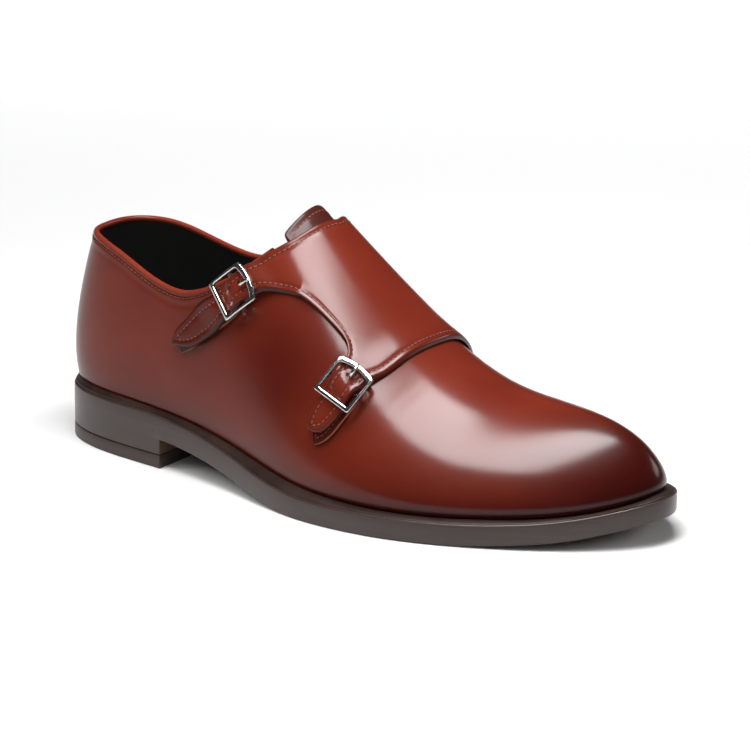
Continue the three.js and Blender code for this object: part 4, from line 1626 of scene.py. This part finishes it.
        tabs = (("upper", self.upper_tab_edges, even(self.tab_lift)), ("lower", self.lower_tab_edges, curled))
        for name, edges, lift in tabs:
            leather = CutLeather(edges, self.tab_thick, rounding=0.3, soften=0.6)
            piece = Piece(f"{name}_tab", Finish.UPPER, "upper_leather", (f"{name}_buckle_tab",),
                          (Finish.CUT_EDGE,), 60)
            obj = piece.add(leather.laid(lift, even(0.45)))
            from_edge = obj.data.attributes["from_edge"].data
            for face in obj.data.polygons:
                if max(from_edge[v].value for v in face.vertices) < self.cut_edge:
                    face.material_index = 1
            thread = StitchRow(f"{name}_tab_stitches", 2.2, 1.6, 0.22, 0.0)
            thread.sew([leather.offset(1.9)], above(lift, self.tab_thick + 0.05), True)

    def tongue(self) -> None:
        """The tongue, under the upper, showing above the panel with its own row of stitches."""
        leather = CutLeather(self.tongue_edges, self.tongue_thick, rounding=0.8, soften=1.6, groove=0.2,
                             groove_at=2.6)

        def shade_under_panel(x: np.ndarray, girth: np.ndarray) -> np.ndarray:
            """Painted shade where the panel covers it."""
            return 0.35 * smooth(122, 134, x)

        bm = leather.laid(even(self.tongue_lift), shade_under_panel)
        Piece("tongue_leather", Finish.TONGUE, "upper_leather", ("tongue",), sharp_degrees=60).add(bm)
        line = leather.offset(2.6)
        line = line[(line[:, 0] < 131) & (np.abs(line[:, 1]) < 21)]
        thread = StitchRow("tongue_stitches", 2.4, 1.75, 0.28, 0.3)
        thread.sew([line[np.argsort(line[:, 1])]], even(self.tongue_lift + self.tongue_thick - 0.1))

    def quarter_fold(self) -> None:
        """On the inner side the quarter's folded edge rises over the back of the panel."""
        leather = CutLeather((self.fold_front, self.fold_back, self.fold_top), self.fold_thick,
                             rounding=0.9, soften=0.8, edge_dark=0.0)

        def away(points: np.ndarray, edge: Edge) -> np.ndarray:
            """Measures how far places lie from a curve.

            Args:
                points: The places.
                edge: Places that the curve runs through.

            Returns:
                Their distances.
            """
            knots = np.array(edge)
            way = np.concatenate([[0], np.cumsum(np.hypot(*np.diff(knots, axis=0).T))])
            spots = np.linspace(0, way[-1], 160)
            line = np.stack([spline_through(way, knots[:, k])(spots) for k in range(2)], -1)
            return np.sqrt(((points[:, None] - line[None]) ** 2).sum(-1)).min(1)

        def lift(x: np.ndarray, girth: np.ndarray) -> np.ndarray:
            """High along the front edge, sunk into the quarter at the back and under the binding.

            Args:
                x: Places along the shoe.
                girth: Their ways over the surface from the ridge.

            Returns:
                Heights of the underside over the upper.
            """
            places = np.stack([x, girth], -1)
            front = 1 - smooth(0, 19, away(places, self.fold_front))
            return self.fold_sunk + self.fold_rise * front * smooth(-2, 9, away(places, self.fold_top))

        def burnish_and_shade(x: np.ndarray, girth: np.ndarray) -> np.ndarray:
            """As the quarter beside it, with its painted shade round the straps, and darker on its front
            edge.
            """
            front = away(np.stack([x, girth], -1), self.fold_front)
            return painted_shade_by_straps(x, DRAPE.point(x, girth)[:, 2]) + 0.5 * np.exp(-front / 0.7)

        bm = leather.laid(lift, burnish_and_shade)
        Piece("quarter_fold", Finish.UPPER, "upper_leather", sharp_degrees=60).add(bm)

    def heel_tab(self) -> None:
        """A small pointed tab sewn over the back seam under the binding."""
        def span(b: np.ndarray, least: float) -> np.ndarray:
            """Share of the tab's half width, narrowing to a rounded point where b is 0."""
            return np.sqrt(np.clip(1 - (1 - np.clip(b / 0.45, 0, 1)) ** 2, least, 1)) * (0.8 + 0.2 * b)

        def on_seam(u: np.ndarray, b: np.ndarray, lift: float) -> np.ndarray:
            """Points over the back seam, from the tab's point up to its top."""
            below = self.heel_tab_top + self.heel_tab_tall * (1 - b)
            return LAST.point(u, LAST.top_of(u, below), lift)

        def place(a: np.ndarray, b: np.ndarray) -> np.ndarray:
            """The tab's sheet."""
            return on_seam((2 * a - 1) * self.heel_tab_wide * span(b, 0.0025), b, 0.02)

        def burnish_and_shade(a: np.ndarray, b: np.ndarray) -> np.ndarray:
            """Darker at both sides."""
            return 0.2 + 0.6 * np.abs(2 * a - 1) ** 4

        bm = wrapped_grid(24, 40, place, burnish_and_shade)
        face_out(bm, lambda place: Vector((-1.0, 0.0, 0.0)))
        Piece("heel_tab", Finish.UPPER, "upper_leather").add(bm, 0.9, True)
        turn = np.linspace(0.02, 0.98, 120) * 2 - 1
        b = 0.1 + 0.9 * np.abs(turn)
        u = np.sign(turn) * self.heel_tab_wide * 0.72 * span(b, 0.01) * np.minimum(np.abs(turn) * 8, 1)
        thread = StitchRow("heel_tab_stitches", 2.0, 1.4, 0.22, 0.0)
        thread.sew_points([on_seam(u, b, 1.0)], False, "upper_leather")

    def build(self) -> None:
        """Builds every strap and tab."""
        self.panel()
        self.tabs()
        self.tongue()
        self.quarter_fold()
        self.heel_tab()


STRAPS = Straps()


# ------------------------------------------------------------------ buckles
@dataclass(frozen=True)
class ProngStep:
    """A step along the prong: its way from the centre bar, its height over the frame and half its width.

    Millimetres.
    """

    along: float
    over: float
    half: float


@dataclass
class Buckle:
    """A centre-bar buckle: an arched bar towards the instep, a straight bar behind, two rails and a prong."""

    place: BucklePlace
    length: float = 18.0
    width: float = 19.0
    arch: float = 1.6
    rail: float = 1.55
    straight_bar: float = 2.0
    arched_bar: float = 2.25
    thick: float = 1.8
    height: float = 5.2
    bar_height: float = 1.6
    bar: float = 1.1
    bow: float = 95.0
    steps: int = 24
    corner_angle: float = 1.2
    corner_round: float = 0.5
    post_wide: float = 2.6
    post_thick: float = 1.2
    hole_radius: float = 0.85
    prong_hole: float = 4.6
    spare_hole: float = -2.2
    prong_flat: float = 0.7
    prong_steps: tuple[ProngStep, ...] = (
        ProngStep(4.4, -1.7, 0.72), ProngStep(5.0, -0.9, 0.76), ProngStep(5.8, -0.1, 0.8),
        ProngStep(6.8, 0.35, 0.8), ProngStep(8.0, 0.5, 0.78), ProngStep(9.2, 0.4, 0.74),
        ProngStep(10.1, 0.1, 0.66), ProngStep(10.6, -0.3, 0.45))

    def _loop(self, x_low: float, x_high: float, half: float, arch: float) -> np.ndarray:
        """A loop of places with the same steps on each of its four sides.

        Args:
            x_low: Its straight end.
            x_high: Where its arched end starts.
            half: Half its width.
            arch: How far the arched end bows out.

        Returns:
            The places, their corners a little rounded.
        """
        share = np.arange(self.steps) / self.steps
        y = half * (2 * share - 1)
        sides = [
            np.stack([x_high + arch * (1 - (y / half) ** 2), y], -1),
            np.stack([x_high + (x_low - x_high) * share, 0 * share + half], -1),
            np.stack([0 * share + x_low, -y], -1),
            np.stack([x_low + (x_high - x_low) * share, 0 * share - half], -1),
        ]
        loop = np.concatenate(sides)
        kernel = np.array([0.25, 0.5, 0.25])
        for _ in range(2):
            loop = kernel[0] * np.roll(loop, 1, 0) + kernel[1] * loop + kernel[2] * np.roll(loop, -1, 0)
        return loop

    def _bowed(self, bm: BMesh) -> None:
        """Bends the piece to follow the foot."""
        for vert in bm.verts:
            vert.co.z -= vert.co.x**2 / (2 * self.bow)

    def _finish(self, bm: BMesh, piece: Piece) -> None:
        """Scales to metres, lays the piece on the last and makes it.

        Args:
            bm: Its mesh, flat and in millimetres.
            piece: Its name, finish and slot.
        """
        bmesh.ops.scale(bm, vec=(MM, MM, MM), verts=bm.verts)
        bmesh.ops.transform(bm, matrix=self.place.matrix(), verts=bm.verts)
        piece.add(bm)

    def frame(self) -> None:
        """The frame with its centre bar."""
        bm = bmesh.new()
        half_x, half_y = self.length / 2, self.width / 2
        outer = self._loop(-half_x, half_x, half_y, self.arch)
        inner = self._loop(-half_x + self.straight_bar, half_x - self.arched_bar, half_y - self.rail,
                           self.arch)
        rims = []
        for loop in (outer, inner):
            ring = bmesh.ops.create_circle(bm, segments=len(loop), radius=1.0)["verts"]
            for vert, (x, y) in zip(ring, loop):
                vert.co = (x, y, self.height)
            rims += list(dict.fromkeys(e for v in ring for e in v.link_edges))
        flat = bmesh.ops.bridge_loops(bm, edges=rims)["faces"]
        raised = bmesh.ops.extrude_face_region(bm, geom=flat)["geom"]
        bmesh.ops.translate(bm, vec=(0, 0, self.thick), verts=only(raised, bmesh.types.BMVert))
        bmesh.ops.recalc_face_normals(bm, faces=bm.faces)
        bm.normal_update()
        corners = [e for e in bm.edges if len(e.link_faces) == 2 and e.calc_face_angle() > self.corner_angle]
        bmesh.ops.bevel(bm, geom=corners, offset=self.corner_round, segments=3, profile=0.5, affect="EDGES",
                        material=-1, clamp_overlap=True)
        self._bowed(bm)
        post = self.height - self.bar_height + 0.3
        for side in (-1, 1):
            place = Matrix.Translation((0, side * (half_y - self.rail * 0.55), self.bar_height + post / 2))
            size = Matrix.Diagonal((self.post_wide, self.post_thick, post, 1))
            cube = bmesh.ops.create_cube(bm, size=1.0, matrix=place @ size)["verts"]
            edges = list(dict.fromkeys(e for v in cube for e in v.link_edges))
            bmesh.ops.bevel(bm, geom=edges, offset=0.3, segments=2, profile=0.5, affect="EDGES", material=-1)
        turn = Matrix.Rotation(math.pi / 2, 4, "X")
        place = Matrix.Translation((0, 0, self.bar_height + self.bar / 2)) @ turn
        bmesh.ops.create_cone(bm, cap_ends=True, segments=16, radius1=self.bar / 2, radius2=self.bar / 2,
                              depth=self.width - self.rail, matrix=place)
        self._finish(bm, Piece(f"{self.place.name}_buckle_frame", Finish.NICKEL, "buckle_nickel",
                               (f"{self.place.name}_buckle",), sharp_degrees=50))

    def prong(self) -> None:
        """The prong, up through the strap and down onto the arched bar."""
        steps, top = self.prong_steps, self.height + self.thick
        bm = bmesh.new()
        ring = bmesh.ops.create_circle(bm, cap_ends=True, segments=16, radius=1.0)["verts"]
        for k, step in enumerate(steps):
            if k:
                edges = [e for e in bm.edges if e.verts[0] in ring and e.verts[1] in ring]
                ring = only(bmesh.ops.extrude_edge_only(bm, edges=edges)["geom"], bmesh.types.BMVert)
            before, after = steps[max(k - 1, 0)], steps[min(k + 1, len(steps) - 1)]
            slope = math.atan2(after.over - before.over, after.along - before.along)
            centre = Vector((step.along, 0.0, top + step.over))
            for n, vert in enumerate(ring):
                angle = 2 * math.pi * n / len(ring)
                across, up = step.half * math.cos(angle), step.half * self.prong_flat * math.sin(angle)
                vert.co = centre + Vector((-up * math.sin(slope), across, up * math.cos(slope)))
        edges = [e for e in bm.edges if e.is_boundary]
        bmesh.ops.holes_fill(bm, edges=edges, sides=0)
        self._bowed(bm)
        self._finish(bm, Piece(f"{self.place.name}_buckle_prong", Finish.NICKEL, "buckle_nickel",
                               (f"{self.place.name}_prong",), sharp_degrees=60))

    def holes(self) -> None:
        """The punched hole that the prong leaves by and the spare one behind it, as dark discs of painted
        shade.
        """
        bm = bmesh.new()
        spots = (self.prong_hole, self.spare_hole) if self.place is UPPER_PLACE else (self.prong_hole,)
        for along in spots:
            way = self.place.way() * along
            spot = np.array([self.place.x + way[0]]), np.array([self.place.girth + way[1]])
            level = STRAPS.panel_lift(*spot) + STRAPS.panel_thick
            centre = LAST.to_frame(DRAPE.point(*spot, level - 0.35))[0]
            tip = LAST.to_frame(DRAPE.point(*spot, level + 1.0))[0]
            turn = Vector(tip - centre).to_track_quat("Z", "X").to_matrix().to_4x4()
            place = Matrix.Translation(Vector(centre)) @ turn @ Matrix.Scale(MM, 4)
            bmesh.ops.create_cone(bm, cap_ends=True, segments=20, radius1=self.hole_radius,
                                  radius2=self.hole_radius, depth=0.8, matrix=place)
        Piece(f"{self.place.name}_strap_holes", Finish.HOLE_SHADE, "upper_leather").add(bm)

    def build(self) -> None:
        """Builds the buckle."""
        self.frame()
        self.prong()
        self.holes()


# ------------------------------------------------------------------ studio
@dataclass(frozen=True)
class Softbox:
    """A rectangular light. Metres and watts."""

    name: str
    place: tuple[float, float, float]
    aim: tuple[float, float, float]
    width: float
    height: float
    power: float
    roll_degrees: float = 0.0
    glossy: bool = True
    spread_degrees: float = 180.0


@dataclass
class Studio:
    """Floor, lights and camera."""

    azimuth: float = 33.25
    elevation: float = 16.72
    roll: float = 0.54
    distance: float = 1.721
    lens: float = 190.0
    target: tuple[float, float, float] = (-0.001, 0.00768, 0.040)
    shift: tuple[float, float] = (0.0177, 0.0234)
    floor_grey: float = 0.42
    sky_power: float = 4.8
    sky_degrees: float = 70.0
    sky_way: tuple[float, float, float] = (0.30, 0.35, -1.0)
    surround: tuple[float, float, float] = (0.9, 0.93, 1.0)
    surround_strength: float = 0.05
    softboxes: tuple[Softbox, ...] = (
        Softbox("overhead", (0.10, -0.09, 0.55), (0.10, -0.09, 0.0), 0.17, 0.45, 6.2, 0.0),
        Softbox("left", (-1.3, -0.9, 0.9), (0.0, 0.0, 0.05), 0.6, 0.6, 6.0, glossy=False),
        Softbox("front", (0.9, -1.6, 0.8), (0.0, 0.0, 0.05), 0.8, 0.8, 8.0, glossy=False),
        Softbox("right", (1.5, 0.3, 0.9), (0.0, 0.0, 0.05), 0.6, 0.6, 9.0, glossy=False),
        Softbox("rear", (1.2, 1.5, 0.8), (0.05, 0.0, 0.05), 0.9, 0.5, 6.0),
        Softbox("background", (-0.85, 1.3, 1.1), (-0.85, 1.3, 0.0), 2.4, 1.2, 17.0, 33.0, False, 100.0),
    )

    def floor(self) -> None:
        """A large pale floor."""
        bm = bmesh.new()
        bmesh.ops.create_grid(bm, x_segments=8, y_segments=8, size=12.0)
        mesh = bpy.data.meshes.new("floor")
        bm.to_mesh(mesh)
        bm.free()
        floor = bpy.data.objects.new("floor", mesh)
        bpy.context.scene.collection.objects.link(floor)
        nodes = NodeTree(bpy.data.materials.new("floor_paper"))
        nodes.set(Base_Color=(self.floor_grey,) * 3, Roughness=0.9, Specular_IOR_Level=0.1)
        mesh.materials.append(nodes.material)

    def lights(self) -> None:
        """Softboxes, a wide even sky light and a dim surround."""
        for box in self.softboxes:
            data = bpy.data.lights.new(box.name, "AREA")
            data.shape = "RECTANGLE"
            data.size, data.size_y = box.width, box.height
            data.energy = box.power
            data.spread = math.radians(box.spread_degrees)
            light = bpy.data.objects.new(box.name, data)
            way = Vector(box.aim) - Vector(box.place)
            turn = way.to_track_quat("-Z", "Y").to_matrix().to_4x4()
            roll = Matrix.Rotation(math.radians(box.roll_degrees), 4, "Z")
            light.matrix_world = Matrix.Translation(Vector(box.place)) @ turn @ roll
            light.visible_glossy = box.glossy
            bpy.context.scene.collection.objects.link(light)
        data = bpy.data.lights.new("sky", "SUN")
        data.energy = self.sky_power
        data.angle = math.radians(self.sky_degrees)
        light = bpy.data.objects.new("sky", data)
        light.visible_glossy = False
        light.matrix_world = Vector(self.sky_way).to_track_quat("-Z", "Y").to_matrix().to_4x4()
        bpy.context.scene.collection.objects.link(light)
        world = bpy.data.worlds.new("surround")
        world.use_nodes = True
        surround = world.node_tree.nodes["Background"]
        surround.inputs["Color"].default_value = (*self.surround, 1)
        surround.inputs["Strength"].default_value = self.surround_strength
        bpy.context.scene.world = world

    def camera(self) -> None:
        """The camera, with depth of field off."""
        scene = bpy.context.scene
        data = bpy.data.cameras.new("camera")
        data.lens, data.sensor_width = self.lens, 36.0
        data.shift_x, data.shift_y = self.shift
        data.clip_start, data.clip_end = 0.05, 60.0
        camera = bpy.data.objects.new("camera", data)
        a, e = math.radians(self.azimuth), math.radians(self.elevation)
        back = Vector((math.sin(a) * math.cos(e), -math.cos(a) * math.cos(e), math.sin(e)))
        right = Vector((math.cos(a), math.sin(a), 0.0))
        up = back.cross(right)
        turn = Matrix((right, up, back)).transposed().to_4x4()
        roll = Matrix.Rotation(math.radians(self.roll), 4, "Z")
        camera.matrix_world = Matrix.Translation(Vector(self.target) + back * self.distance) @ turn @ roll
        scene.collection.objects.link(camera)
        scene.camera = camera
        scene.view_settings.view_transform = "Standard"

    def build(self) -> None:
        """Builds the studio."""
        self.floor()
        self.lights()
        self.camera()


def main() -> None:
    """Builds the studio and the shoe."""
    Studio().build()
    Sole().build()
    Upper().build()
    STRAPS.build()
    for place in (UPPER_PLACE, LOWER_PLACE):
        Buckle(place).build()


if __name__ == "__main__":
    logging.basicConfig(level=logging.INFO, format="%(message)s")
    main()
